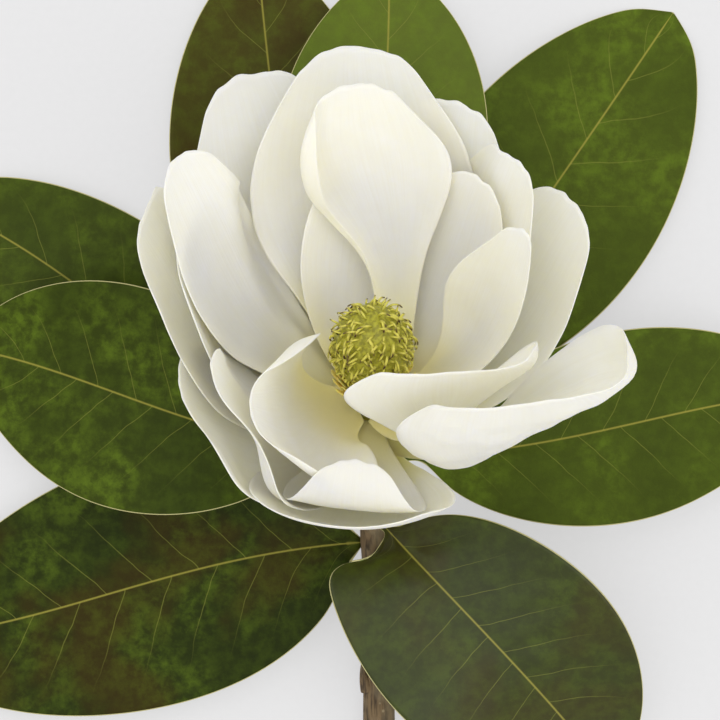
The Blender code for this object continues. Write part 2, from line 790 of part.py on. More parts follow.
def add_cone(collection):
    """The carpel cone on its short axis, covered with curled styles set in a spiral."""
    profile = bmesh.new()
    outline = [(0, AXIS_FOOT), (AXIS_RADIUS, AXIS_FOOT), (AXIS_RADIUS, CONE_START + 1.5 * MM)]
    for band in range(1, CONE_BANDS):
        height = blend(CONE_START + 2.5 * MM, CONE_TOP - 1 * MM, band / CONE_BANDS)
        outline.append((cone_radius(height), height))
    outline.append((0, CONE_TOP))
    outline.reverse()
    chain = [profile.verts.new((radius, 0, height)) for radius, height in outline]
    for first, second in zip(chain, chain[1:]):
        profile.edges.new((first, second))
    bmesh.ops.spin(
        profile, geom=profile.verts[:] + profile.edges[:], cent=(0, 0, 0), axis=(0, 0, 1),
        angle=math.tau, steps=CONE_TURNS, use_merge=True,
    )
    bmesh.ops.remove_doubles(profile, verts=profile.verts, dist=0.01 * MM)
    bmesh.ops.recalc_face_normals(profile, faces=profile.faces)
    turn = stand_on(HEART, AXIS, SIDEWAYS)
    bmesh.ops.transform(profile, matrix=turn, verts=profile.verts)
    green = material("carpel_green", (0.32, 0.34, 0.03), 0.5)
    cone = bmesh_object("carpel_cone", profile, collection, green)
    styles = bpy.data.collections.new("styles")
    bpy.context.scene.collection.children.link(styles)
    rng = random.Random(7)
    for number in range(STYLE_COUNT):
        share = (number + 0.7) / STYLE_COUNT
        height = blend(CONE_START + 7 * MM, CONE_TOP - 2.0 * MM, share)
        angle = number * GOLDEN_TURN
        radius = cone_radius(height)
        middle = (CONE_START + CONE_TOP) / 2
        out = Vector((math.cos(angle), math.sin(angle), 0)) * radius * 1.6
        normal = (out + Vector((0, 0, (height - middle)))).normalized()
        foot = Vector((math.cos(angle) * radius, math.sin(angle) * radius, height))
        place = foot - normal * STYLE_SINK
        bend = math.radians(rng.uniform(60, 105))
        horn = bent_horn(STYLE_LENGTH, STYLE_RADIUS, STYLE_TIP_RADIUS, bend, STYLE_SIDES, STYLE_STEPS)
        swing = Vector((-math.sin(angle), math.cos(angle), 0)) * rng.uniform(-0.8, 0.8)
        lean = Vector((0, 0, -1)) + swing + out * 0.01
        matrix = turn @ stand_on(place, normal + Vector((0, 0, 0.35)), lean)
        bmesh.ops.transform(horn, matrix=matrix, verts=horn.verts)
        bmesh_object(f"style_{number:02d}", horn, styles)
    join_all(cone, styles, "MANIFOLD")


def add_stamens(collection):
    """The stamens: flat paddles that stand out of one collar round the axis."""
    ring = bmesh.new()
    corners_of_section = [
        (COLLAR_INNER, COLLAR_START),
        (COLLAR_OUTER, COLLAR_START),
        (COLLAR_OUTER, COLLAR_END),
        (COLLAR_INNER, COLLAR_END),
    ]
    chain = [ring.verts.new((radius, 0, height)) for radius, height in corners_of_section]
    for index, vertex in enumerate(chain):
        ring.edges.new((vertex, chain[(index + 1) % len(chain)]))
    bmesh.ops.spin(
        ring, geom=ring.verts[:] + ring.edges[:], cent=(0, 0, 0), axis=(0, 0, 1),
        angle=math.tau, steps=COLLAR_TURNS, use_merge=True,
    )
    bmesh.ops.remove_doubles(ring, verts=ring.verts, dist=0.01 * MM)
    bmesh.ops.recalc_face_normals(ring, faces=ring.faces)
    turn = stand_on(HEART, AXIS, SIDEWAYS)
    bmesh.ops.transform(ring, matrix=turn, verts=ring.verts)
    collar = bmesh_object("stamens", ring, collection, material("stamen_yellow", (0.75, 0.62, 0.2), 0.6))
    paddles = bpy.data.collections.new("paddles")
    bpy.context.scene.collection.children.link(paddles)
    rng = random.Random(3)
    for number in range(STAMEN_COUNT):
        row = number % 2
        angle = math.tau * number / STAMEN_COUNT
        tilt = math.radians(22 + 20 * row + rng.uniform(-4, 4))
        length = STAMEN_LENGTH * rng.uniform(0.85, 1.05)
        paddle = bmesh.new()
        bmesh.ops.create_cube(paddle, size=1.0)
        bmesh.ops.scale(paddle, verts=paddle.verts, vec=(STAMEN_THICK, STAMEN_WIDTH, length))
        bmesh.ops.translate(paddle, verts=paddle.verts, vec=(0, 0, length / 2))
        for vertex in paddle.verts:
            if vertex.co.z > length / 2:
                vertex.co.y *= STAMEN_TIP_SHARE
        out = Vector((math.cos(angle), math.sin(angle), 0))
        root = out * (COLLAR_OUTER - STAMEN_SINK)
        root += Vector((0, 0, COLLAR_END - 1.2 * MM - STAMEN_SINK * row))
        way = Vector((0, 0, math.cos(tilt))) + out * math.sin(tilt)
        matrix = turn @ stand_on(root, way, out)
        bmesh.ops.transform(paddle, matrix=matrix, verts=paddle.verts)
        bmesh_object(f"paddle_{number:02d}", paddle, paddles)
    join_all(collar, paddles, "MANIFOLD")


def clear_scene():
    """Removes what the opened file holds."""
    for thing in list(bpy.data.objects):
        bpy.data.objects.remove(thing)


def main():
    clear_scene()
    flower = bpy.data.collections.new("magnolia_flower")
    bpy.context.scene.collection.children.link(flower)
    add_twig(flower)
    add_cone(flower)
    add_stamens(flower)
    earlier = []
    add_petals(flower, earlier)
    add_leaves(flower)


main()
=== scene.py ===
"""A southern magnolia bloom on its twig with eight leaves, dressed over the frame of its solids.

A petal is a fine sheet drawn through its solid's own points. A leaf is drawn from its outline
and laid on its solid's upper face. Cone, stamens and twig follow the rules that place them.
"""

import math
import random
from dataclasses import dataclass

import bmesh
import bpy
import numpy as np
from mathutils import Matrix, Vector, noise
from mathutils.bvhtree import BVHTree


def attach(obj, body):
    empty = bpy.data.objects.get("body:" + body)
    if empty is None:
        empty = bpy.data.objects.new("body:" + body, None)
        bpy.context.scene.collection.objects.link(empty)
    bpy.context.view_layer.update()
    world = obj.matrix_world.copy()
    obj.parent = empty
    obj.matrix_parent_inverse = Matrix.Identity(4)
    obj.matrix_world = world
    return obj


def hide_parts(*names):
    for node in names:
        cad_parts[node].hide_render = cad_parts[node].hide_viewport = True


bl_info = {
    "name": "Magnolia Bloom",
    "version": (1, 0, 0),
    "blender": (4, 5, 0),
    "location": "View3D > Sidebar > Magnolia",
    "description": "Builds an open magnolia bloom with leaves on a short twig",
    "category": "Add Mesh",
}

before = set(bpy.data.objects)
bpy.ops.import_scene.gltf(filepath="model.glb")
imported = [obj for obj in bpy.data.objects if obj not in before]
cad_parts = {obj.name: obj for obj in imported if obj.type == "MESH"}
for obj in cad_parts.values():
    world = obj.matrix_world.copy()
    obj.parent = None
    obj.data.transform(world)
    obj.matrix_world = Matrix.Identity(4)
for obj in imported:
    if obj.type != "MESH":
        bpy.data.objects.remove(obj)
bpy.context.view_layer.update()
MM = 0.001
MERGE = 0.01 * MM

# The bloom's place and lean
HEART = Vector((-3, 93, 58)) * MM
LEAN = math.radians(33)
AXIS = Vector((0, math.sin(LEAN), math.cos(LEAN)))
SIDEWAYS = Vector((1, 0, 0))
DOWN = Vector((0, 0, -1))
QUARTER_TURN = math.pi / 2

# The petals' solids: their rows and columns of points, their wall, and an edge that runs through it
PETAL_ROWS = 9
PETAL_COLUMNS = 8
PETAL_ROW_SPREAD = 1.25
PETAL_WALL = 0.7 * MM
THROUGH_WALL = 0.9 * MM
CREASED_PETAL = "petal_16"

# A petal's two corners are rounded beyond these shares of its length, and of its width from the middle
CORNER_START = 0.8
CORNER_SIDE = 0.36

# The uneven rim's waves along and across, and the powers that keep it to the tip and to the sides
RIM_WAVES = (11, 9)
TIP_POWER = 16
SIDE_POWER = 12

# The wall thins towards the rim over these shares of the length and of the half width
TIP_BAND = 0.06
SIDE_BAND = 0.1

# Steps from petal to petal through the noise of its rim and of its dents
RIM_STEP = 5.3
DENT_STEP = 3.7

# Shares of a petal's length: the smooth claw, and its foot, which sinks into the axis
CLAW = 0.3
FOOT = 0.05
FOOT_SINK = 0.7 * MM

# The axis and the cone on it, which begins above a neck and whose lowest bands keep nearly to the axis
AXIS_RADIUS = 7.0 * MM
AXIS_FOOT = -24.5 * MM
CONE_START = 12 * MM
CONE_TOP = 49 * MM
CONE_RADIUS = 13.5 * MM
CONE_MIDDLE = (CONE_START + CONE_TOP) / 2
CONE_HALF = (CONE_TOP - CONE_START) / 2
CONE_SIDES = 64
CONE_BANDS = 30
NECK_TOP = CONE_START + 1.0 * MM
LOWEST_BAND = CONE_START + 1.2 * MM
HIGHEST_BAND = CONE_TOP - 0.3 * MM
NECK_BANDS = 4
NECK_SHARE = 0.9

# Soft edges of the axis and of the stamens' collar: how far in they start, and how high they are
AXIS_EDGE = 0.6 * MM
COLLAR_EDGE = 0.5 * MM
EDGE_HEIGHT = 0.8 * MM

# Carpels swell by this much, up to this far from a style's root
CARPEL_SWELL = 1.1 * MM
CARPEL_REACH = 3.0 * MM

# Styles stand in a spiral and spread from the cone's middle, and the thin ones differ in length
GOLDEN_TURN = math.pi * (3 - math.sqrt(5))
STYLE_FLARE = 1.6
STYLE_SEED = 7
THIN_STYLE_LENGTHS = (5.0 * MM, 8.0 * MM)
THIN_STYLE_RADIUS = 0.55 * MM

# The stamens' collar
COLLAR_INNER = AXIS_RADIUS - 0.1 * MM
COLLAR_OUTER = AXIS_RADIUS + 2.6 * MM
COLLAR_START = 0.5 * MM
COLLAR_END = 5.0 * MM
COLLAR_SIDES = 40

# How a stamen stands, in degrees: its tilt, what the second row adds, and how far it strays
STAMEN_TILT = 18
ROW_TILT = 13
STAMEN_STRAY = 4
STAMEN_SEED = 3

# A stamen's root under the collar's outside and top, and how much deeper the second row's is
STAMEN_ROOT_IN = 1.6 * MM
STAMEN_ROOT_DOWN = 1.2 * MM
ROW_DOWN = 1.6 * MM

# A stamen's form: its length as a share of the set one, its soft edge and bow, and how it narrows
STAMEN_LENGTHS = (0.85, 1.05)
STAMEN_EDGE = 0.3 * MM
STAMEN_STEPS = 7
STAMEN_BOW = 0.9 * MM
ROW_BOW = 1.6
STAMEN_BELLY = 1.3
STAMEN_WAIST = 0.75
STAMEN_TIP_WIDTH = 0.62
STAMEN_TIP_THICKNESS = 0.55

# The twig's middle line in millimetres, which ends with a straight stretch along the bloom's axis
TWIG_RADIUS = 6.2 * MM
TWIG_TOP = HEART + AXIS * (AXIS_FOOT - 0.35 * MM)
TWIG_STRAIGHT = AXIS * 8 * MM
TWIG_ROUTE = [
    (-2, -125, 6.2),
    (-1, -95, 5.8),
    (0, -60, 5.6),
    (0, -20, 5.6),
    (0, 8, 5.6),
    (-1, 30, 6.8),
    (-2, 48, 11.5),
    (-2.6, 64, 20),
]

# It thins towards the bloom between two places along +Y, and stays this far above the floor
TWIG_TAPER = (10 * MM, 70 * MM)
TWIG_THINNEST = 0.9
TWIG_CLEARANCE = 0.02 * MM

# Its direction is taken over this share of its length to either side
DIRECTION_SPAN = 0.004

# The face beyond this place is its cut end, and edges sharper than this angle are drawn hard
CUT_PLACE = -0.1
SHARP_EDGE = math.radians(60)

# How close the bark's ridges lie round the twig and along it
BARK_ROUND = 3.2
BARK_ALONG = 70

# Leaf scars ring the twig at these places along +Y, in millimetres
SCARS = (-104, -78, -47, -16, 12, 34, 42, 62, 68, 74.5)
SCAR_WIDTH = 1.6
SCAR_SWELL = 0.35 * MM

# The side bud
BUD_PLACE = Vector((-4.6, -24, 8.0)) * MM
BUD_WAY = Vector((-0.34, 0.9, 0.3))
BUD_LENGTH = 12 * MM
BUD_RADIUS = 2.8 * MM
BUD_TIP_RADIUS = 0.35 * MM
BUD_BEND = math.radians(20)
BUD_SIDES = 16
BUD_STEPS = 10

# The leaves' solids
LEAF_ROWS = 15
LEAF_COLUMNS = 8
MIDRIB_THICK = 2.6 * MM
STALK_HALF_WIDTH = 2.1 * MM
STALK_SEAT_GAP = 0.6 * MM

# The side veins: how many steps there are along a leaf, their sweep, its bend, and the left side's lead
LATERALS = 10
LATERAL_SWEEP = 1.5
LATERAL_BEND = 1.25
LATERAL_OFFSET = 0.4

# A blade's curve: how far its handles reach, and its steps along the middle and through half a section
START_HANDLE = 0.40
END_HANDLE = 0.34
SPINE_STEPS = 40
SECTION_STEPS = 10

# A leaf's outline: how full it is, its tip, and how much closer rows lie at the ends, columns inside
LEAF_ROUND = 0.58
LEAF_TIP_HALF_WIDTH = 0.6 * MM
ROW_EASE = 0.6
COLUMN_EASE = 1.35

# Half widths between which a stalk becomes a blade, and a blade gets its full lobe
BLADE_WIDTHS = (3 * MM, 15 * MM)
LOBE_WIDTHS = (8 * MM, 33 * MM)
LOBE_POWER = 1.2

# The waves of a leaf's rim: height, turns along and across, growth towards the rim, step to the next
LEAF_WAVE = 1.5 * MM
WAVES_ALONG = 9.0
WAVES_ACROSS = 1.3
WAVE_POWER = 1.5
WAVE_STEP = 2.3

# A point is drawn in by this share before it is laid on its solid from this height
PROBE_IN = 0.012
PROBE_HEIGHT = 0.3

# Shares of a blade's half width: the flat beside the midrib, and where the quilting begins to fade
FLAT_MIDDLE = 0.15
QUILT_FADE = 0.5

# The midrib's groove above and ridge below, and the round stalk
GROOVE_DEPTH = 0.28 * MM
GROOVE_WIDTH = 1.3 * MM
RIDGE_WIDTH = 1.5 * MM
RIDGE_SHARES = (0.8, 0.1)
STALK_DOME = 0.9 * MM
STALK_SIDES = 0.7
THIN_TIP = 0.9

# The stage: the floor, two soft lights and what they look at, and the place under the camera
FLOOR_HALF = 3.0
KEY_PLACE = (-0.75, 0.75, 1.25)
KEY_WIDTH = 1.1
FILL_PLACE = (0.9, -0.35, 0.9)
FILL_WIDTH = 0.9
LIT_PLACE = Vector((0, 0.09, 0.05))
BELOW_CAMERA = (-7.5 * MM, 105 * MM)
SENSOR_WIDTH = 36

# The surroundings brighten towards the zenith between these heights of a direction
BRIGHTENING = (0.6, 0.9)

# Settings that many shader nodes share. A Map Range node takes its value at input 0, its old range at
# 1 and 2 and its new one at 3 and 4. A colour Mix node takes its share at input 0 and its colours at
# 6 and 7, and gives the mixed colour at output 2.
SOFT = {"interpolation_type": "SMOOTHSTEP"}
COLOURS = {"data_type": "RGBA"}


def linear(code):
    """An sRGB hex colour as linear red, green and blue."""
    shares = [int(code[index:index + 2], 16) / 255 for index in (0, 2, 4)]
    return tuple(share / 12.92 if share <= 0.04045 else ((share + 0.055) / 1.055) ** 2.4 for share in shares)


@dataclass
class Leaf:
    """One leaf, in millimetres and degrees. Headings count on the surface from +X.

    The seat is how far along +Y the leaf's stalk stands on the twig, and closer moves it to the bark.
    The belly is where along the blade it is widest. The lobe carries one side back past the stalk.
    """

    seat: float
    tip: tuple
    base_heading: float
    tip_heading: float
    half_width: float
    base_rise: float
    tip_rise: float
    stalk: float
    dark: str
    light: str
    mottle: float
    cup: float = 12
    roll: float = 0
    belly: float = 0.5
    lobe: float = 0
    closer: float = 0
    brown: float = 0.0
    gloss: float = 0.02


# From the lowest leaf to the highest
LEAVES = {
    "leaf_g": Leaf(
        34, (-191, -5, 1), 184, 184, 49, 0, -4, belly=0.42, stalk=5, closer=0.5,
        dark="192105", light="2B350A", mottle=0.45, brown=0.55, gloss=0.03,
    ),
    "leaf_e": Leaf(
        62, (-177, 168, 1), 158, 158, 37, -18, -2, stalk=20,
        dark="2E390C", light="404B12", mottle=0.5, gloss=0.05,
    ),
    "leaf_a": Leaf(
        74.5, (-48, 264, 1), 116, 96, 44, -18, -2, stalk=22,
        dark="37350D", light="4B4716", mottle=0.3, brown=0.5, gloss=0.05,
    ),
    "leaf_c": Leaf(
        74, (116, 242, 1), 54, 56, 46, -18, -2, stalk=22,
        dark="38440F", light="4C5818", mottle=0.6,
    ),
    "leaf_f": Leaf(
        68.5, (-163, 110, 4), 174, 170, 43, 8, -16, stalk=20,
        dark="252F09", light="3A450F", mottle=0.6,
    ),
    "leaf_d": Leaf(
        68, (167, 92, 3), 0, 4, 37, 4, -16, stalk=14,
        dark="333D0E", light="4A5815", mottle=0.6,
    ),
    "leaf_b": Leaf(
        77.5, (4, 258, 4), 90, 90, 41, -6, -12, belly=0.56, stalk=18, closer=0.4,
        dark="4A591A", light="606C24", mottle=0.45, gloss=0.08,
    ),
    "leaf_h": Leaf(
        42, (88, -56, 2), -46, -56, 45, 45, -38, cup=18, roll=5, lobe=32, stalk=7, closer=-0.1,
        dark="272E0B", light="373E10", mottle=0.25, brown=0.35, gloss=0.35,
    ),
}


@dataclass
class StyleKind:
    """How one kind of style stands on the cone, curls and dries. Bends are in degrees.

    The styles climb from above the cone's start to below its top. The first stands a share of a step
    up, and the spiral is turned on. They dry between two shares of their own length, more and more
    between two shares of the way up the cone.
    """

    first: float
    above_start: float
    below_top: float
    turned_on: float
    sink: float
    rise: float
    swing: float
    bends: tuple
    tip_radius: float
    sides: int
    steps: int
    dry_length: tuple
    dry_height: tuple
    dryness: float


CURLED_STYLES = StyleKind(
    first=0.7, above_start=7 * MM, below_top=0.4 * MM, turned_on=0.0, sink=1.6 * MM, rise=0.35, swing=0.8,
    bends=(132, 231), tip_radius=0.3 * MM, sides=6, steps=7,
    dry_length=(0.68, 0.83), dry_height=(0.3, 0.55), dryness=1.0,
)
THIN_STYLES = StyleKind(
    first=0.2, above_start=6 * MM, below_top=0.2 * MM, turned_on=0.5 * GOLDEN_TURN + 0.6,
    sink=1.0 * MM, rise=0.0, swing=1.0, bends=(90, 240), tip_radius=0.25 * MM, sides=5, steps=6,
    dry_length=(0.6, 0.8), dry_height=(0.3, 0.6), dryness=0.9,
)


class MagnoliaPetalSettings(bpy.types.PropertyGroup):
    """Sizes and colours of the petals."""

    thickness: bpy.props.FloatProperty(
        name="Thickness", description="How thick a petal is", default=0.55 * MM, unit="LENGTH",
    )
    rim_share: bpy.props.FloatProperty(
        name="Rim Share", description="How much of that thickness is left at the rim", default=0.5,
        subtype="FACTOR",
    )
    rows: bpy.props.IntProperty(name="Rows", description="Fine rows from claw to tip", default=62)
    columns: bpy.props.IntProperty(name="Columns", description="Fine columns across a petal", default=52)
    dent_size: bpy.props.FloatProperty(
        name="Dent Size", description="How wide the soft dents are", default=19 * MM, unit="LENGTH",
    )
    dent_depth: bpy.props.FloatProperty(
        name="Dent Depth", description="How deep the soft dents are", default=0.45 * MM, unit="LENGTH",
    )
    crease_size: bpy.props.FloatProperty(
        name="Crease Size", description="How wide the creases of the lowest petal are", default=8 * MM,
        unit="LENGTH",
    )
    crease_depth: bpy.props.FloatProperty(
        name="Crease Depth", description="How deep the creases of the lowest petal are", default=0.7 * MM,
        unit="LENGTH",
    )
    ragged: bpy.props.FloatProperty(
        name="Ragged Rim", description="How far the rim is uneven, as a share of the width", default=0.010,
        subtype="FACTOR",
    )
    cream: bpy.props.FloatVectorProperty(
        name="Cream", description="Colour of the open part of a petal", default=linear("FAF8EC"),
        subtype="COLOR",
    )
    claw: bpy.props.FloatVectorProperty(
        name="Claw", description="Colour of a petal's foot", default=linear("EDE3A2"), subtype="COLOR",
    )


class MagnoliaHeartSettings(bpy.types.PropertyGroup):
    """Sizes and colours of the carpel cone and the stamens."""

    styles: bpy.props.IntProperty(name="Styles", description="Curled styles on the cone", default=90)
    thin_styles: bpy.props.IntProperty(
        name="Thin Styles", description="Thinner styles between them", default=300,
    )
    style_length: bpy.props.FloatProperty(
        name="Style Length", description="Length of a style along its curl", default=7.5 * MM, unit="LENGTH",
    )
    style_radius: bpy.props.FloatProperty(
        name="Style Radius", description="Radius of a style at its root", default=0.75 * MM, unit="LENGTH",
    )
    stamens: bpy.props.IntProperty(name="Stamens", description="Stamens round the cone's foot", default=42)
    stamen_length: bpy.props.FloatProperty(
        name="Stamen Length", description="Length of a stamen", default=15.5 * MM, unit="LENGTH",
    )
    stamen_width: bpy.props.FloatProperty(
        name="Stamen Width", description="Width of a stamen", default=3.2 * MM, unit="LENGTH",
    )
    stamen_thickness: bpy.props.FloatProperty(
        name="Stamen Thickness", description="Thickness of a stamen", default=0.9 * MM, unit="LENGTH",
    )
    green: bpy.props.FloatVectorProperty(
        name="Cone Green", description="Colour of the carpels", default=linear("AAA62C"), subtype="COLOR",
    )
    style: bpy.props.FloatVectorProperty(
        name="Style Yellow", description="Colour of the styles", default=linear("DCD460"), subtype="COLOR",
    )
    tip: bpy.props.FloatVectorProperty(
        name="Style Tip", description="Colour of the dried style tips", default=linear("4A2A1A"),
        subtype="COLOR",
    )
    stamen: bpy.props.FloatVectorProperty(
        name="Stamen Yellow", description="Colour of the stamens", default=linear("F4E998"), subtype="COLOR",
    )
    stamen_foot: bpy.props.FloatVectorProperty(
        name="Stamen Foot", description="Colour of the stamens' feet", default=linear("E8C44A"),
        subtype="COLOR",
    )


class MagnoliaLeafSettings(bpy.types.PropertyGroup):
    """Sizes and colours that all leaves share."""

    thickness: bpy.props.FloatProperty(
        name="Thickness", description="How thick a leaf blade is", default=0.6 * MM, unit="LENGTH",
    )
    rows: bpy.props.IntProperty(name="Rows", description="Fine rows from stalk to tip", default=92)
    columns: bpy.props.IntProperty(name="Columns", description="Fine columns across a leaf", default=60)
    quilting: bpy.props.FloatProperty(
        name="Quilting", description="How far the blade swells between its side veins", default=0.3 * MM,
        unit="LENGTH",
    )
    midrib: bpy.props.FloatVectorProperty(
        name="Midrib", description="Colour of the midrib", default=linear("9A9340"), subtype="COLOR",
    )
    vein: bpy.props.FloatVectorProperty(
        name="Side Veins", description="Colour of the side veins", default=linear("868A3C"), subtype="COLOR",
    )
    margin: bpy.props.FloatVectorProperty(
        name="Margin", description="Colour of the leaf's rim", default=linear("C2BC86"), subtype="COLOR",
    )
    patch: bpy.props.FloatVectorProperty(
        name="Brown Patch", description="Colour of the bronzed patches", default=linear("3A280A"),
        subtype="COLOR",
    )
    underside: bpy.props.FloatVectorProperty(
        name="Underside", description="Colour of the felted underside", default=linear("7C7446"),
        subtype="COLOR",
    )


class MagnoliaTwigSettings(bpy.types.PropertyGroup):
    """Sizes and colours of the twig."""

    sides: bpy.props.IntProperty(name="Sides", description="Sides round the twig", default=48)
    steps: bpy.props.IntProperty(name="Steps", description="Steps along the twig", default=260)
    roughness: bpy.props.FloatProperty(
        name="Bark Depth", description="How deep the bark's ridges are", default=0.28 * MM, unit="LENGTH",
    )
    bark: bpy.props.FloatVectorProperty(
        name="Bark", description="Colour of the bark", default=linear("7A664B"), subtype="COLOR",
    )
    furrow: bpy.props.FloatVectorProperty(
        name="Furrow", description="Colour in the bark's furrows", default=linear("43372A"), subtype="COLOR",
    )
    wood: bpy.props.FloatVectorProperty(
        name="Cut Wood", description="Colour of the cut end", default=linear("C9B488"), subtype="COLOR",
    )


class MagnoliaStageSettings(bpy.types.PropertyGroup):
    """The camera, the floor and the light."""

    camera_height: bpy.props.FloatProperty(
        name="Camera Height", description="Height of the camera over the floor", default=1.055,
        unit="LENGTH",
    )
    view_width: bpy.props.FloatProperty(
        name="View Width", description="Width of the view one metre below the camera", default=0.26928,
        unit="LENGTH",
    )
    floor: bpy.props.FloatVectorProperty(
        name="Floor", description="Colour of the floor", default=linear("8C8C8D"), subtype="COLOR",
    )
    glow: bpy.props.FloatProperty(name="Floor Glow", description="How far the floor glows", default=2.0)
    key: bpy.props.FloatProperty(
        name="Key Light", description="Power of the large soft light", default=2.0, unit="POWER",
    )
    fill: bpy.props.FloatProperty(
        name="Fill Light", description="Power of the light across from it", default=2.0, unit="POWER",
    )
    sky: bpy.props.FloatProperty(
        name="Surroundings", description="Strength of the light from all round", default=0.8,
    )
    zenith: bpy.props.FloatProperty(
        name="Zenith", description="Strength of the light from straight above", default=1.62,
    )


def smooth(value, low, high):
    """A soft step that rises from 0 at a low value to 1 at a high one."""
    share = min(max((value - low) / (high - low), 0.0), 1.0)
    return share * share * (3 - 2 * share)


def blend(low, high, share):
    """The value at a share of the way from low to high."""
    return low + (high - low) * share


def heading(turn, rise):
    """The direction at a turn from +X, seen from above, that rises by an angle."""
    flat = Vector((math.cos(turn), math.sin(turn), 0))
    return flat * math.cos(rise) + Vector((0, 0, math.sin(rise)))


def axis_radius(place):
    """How far a place is from the bloom's axis."""
    away = place - HEART
    return (away - AXIS * away.dot(AXIS)).length


def stand_on(place, outward, along):
    """The matrix that stands a shape's +Z along outward and its +X near along, at a place."""
    z = outward.normalized()
    x = (along - z * along.dot(z)).normalized()
    y = z.cross(x)
    return Matrix.Translation(place) @ Matrix((x, y, z)).transposed().to_4x4()


def new_object(name, shape, finishes):
    """A linked object with its finishes from a bmesh, which is used up."""
    mesh = bpy.data.meshes.new(name)
    shape.to_mesh(mesh)
    shape.free()
    for finish in finishes:
        mesh.materials.append(finish)
    mesh.shade_smooth()
    piece = bpy.data.objects.new(name, mesh)
    bpy.context.scene.collection.objects.link(piece)
    return piece


def dress(piece, node):
    """Sets a finished piece in the place of its solid."""
    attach(piece, "root")
    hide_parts(node)


def add_part(whole, part):
    """Adds one closed shape to a larger one and uses it up."""
    mesh = bpy.data.meshes.new("part")
    part.to_mesh(mesh)
    part.free()
    whole.from_mesh(mesh)
    bpy.data.meshes.remove(mesh)


def add_wall(piece, thickness, offset, group, least):
    """Gives a sheet its wall, as thick as its vertex group says but at least a share of the full one."""
    wall = piece.modifiers.new("wall", "SOLIDIFY")
    wall.thickness = thickness
    wall.offset = offset
    wall.vertex_group = group
    wall.thickness_vertex_group = least
    return wall


def set_inputs(tree, node, inputs):
    """Fills a node's inputs. Each takes a value, or an output that feeds it."""
    for key, value in inputs.items():
        if isinstance(value, bpy.types.NodeSocket):
            tree.links.new(value, node.inputs[key])
        elif node.inputs[key].type == "RGBA":
            node.inputs[key].default_value = (*value, 1)
        else:
            node.inputs[key].default_value = value


def add_node(tree, kind, inputs, output=0, **settings):
    """Adds a shader node with its inputs and settings, and returns one of its outputs."""
    node = tree.nodes.new("ShaderNode" + kind)
    for key, value in settings.items():
        setattr(node, key, value)
    set_inputs(tree, node, inputs)
    return node.outputs[output]


def new_finish(name):
    """A material with its node tree and its shader, for the finishes below to fill."""
    finish = bpy.data.materials.new(name)
    finish.use_nodes = True
    return finish, finish.node_tree, finish.node_tree.nodes["Principled BSDF"]


def petal_finish(settings):
    """Fresh tepal skin: thick, waxy and faintly ribbed, so light sinks in and comes back warm."""
    finish, tree, shader = new_finish("fresh_cream_tepal")
    blade = add_node(tree, "UVMap", {}, uv_map="blade")
    along = add_node(tree, "SeparateXYZ", {0: blade})
    where = add_node(tree, "TexCoord", {}, "Object")
    # Soft clouds about 26 mm across
    cloud = add_node(tree, "TexNoise", {"Vector": where, "Scale": 1 / (26 * MM), "Detail": 3.0})
    clouded = add_node(tree, "MapRange", {0: cloud, 1: 0.35, 2: 0.7}, **SOFT)
    cream = add_node(tree, "Mix", {0: clouded, 6: linear("F6F3E2"), 7: settings.cream}, 2, **COLOURS)
    # Ribs run from claw to tip, about 1.2 mm apart, drawn faint
    across = add_node(tree, "Mapping", {0: blade, 3: (3.0, 62.0, 1.0)})
    ribs = add_node(tree, "TexNoise", {"Vector": across, "Scale": 1.0, "Detail": 2.0})
    faint = add_node(tree, "MapRange", {0: ribs, 1: 0.3, 2: 0.72, 4: 0.3}, **SOFT)
    veined = add_node(tree, "Mix", {0: faint, 6: cream, 7: linear("F2EDD8")}, 2, **COLOURS)
    opened = add_node(tree, "MapRange", {0: along, 1: 0.04, 2: 0.45}, **SOFT)
    colour = add_node(tree, "Mix", {0: opened, 6: settings.claw, 7: veined}, 2, **COLOURS)
    # Crumples are about 7 mm across
    ribbed = add_node(tree, "Bump", {"Height": ribs, "Distance": 0.12 * MM, "Strength": 0.5})
    crumple = add_node(tree, "TexNoise", {"Vector": where, "Scale": 1 / (7 * MM), "Detail": 3.0})
    crumpled = {"Height": crumple, "Distance": 0.35 * MM, "Strength": 0.35, "Normal": ribbed}
    relief = add_node(tree, "Bump", crumpled)
    set_inputs(tree, shader, {
        "Roughness": 0.5,
        "Specular IOR Level": 0.3,
        "Base Color": colour,
        "Subsurface Weight": 0.65,
        "Subsurface Radius": (1.0, 0.92, 0.5),
        "Subsurface Scale": 4 * MM,
        "Sheen Weight": 0.08,
        "Normal": relief,
    })
    return finish


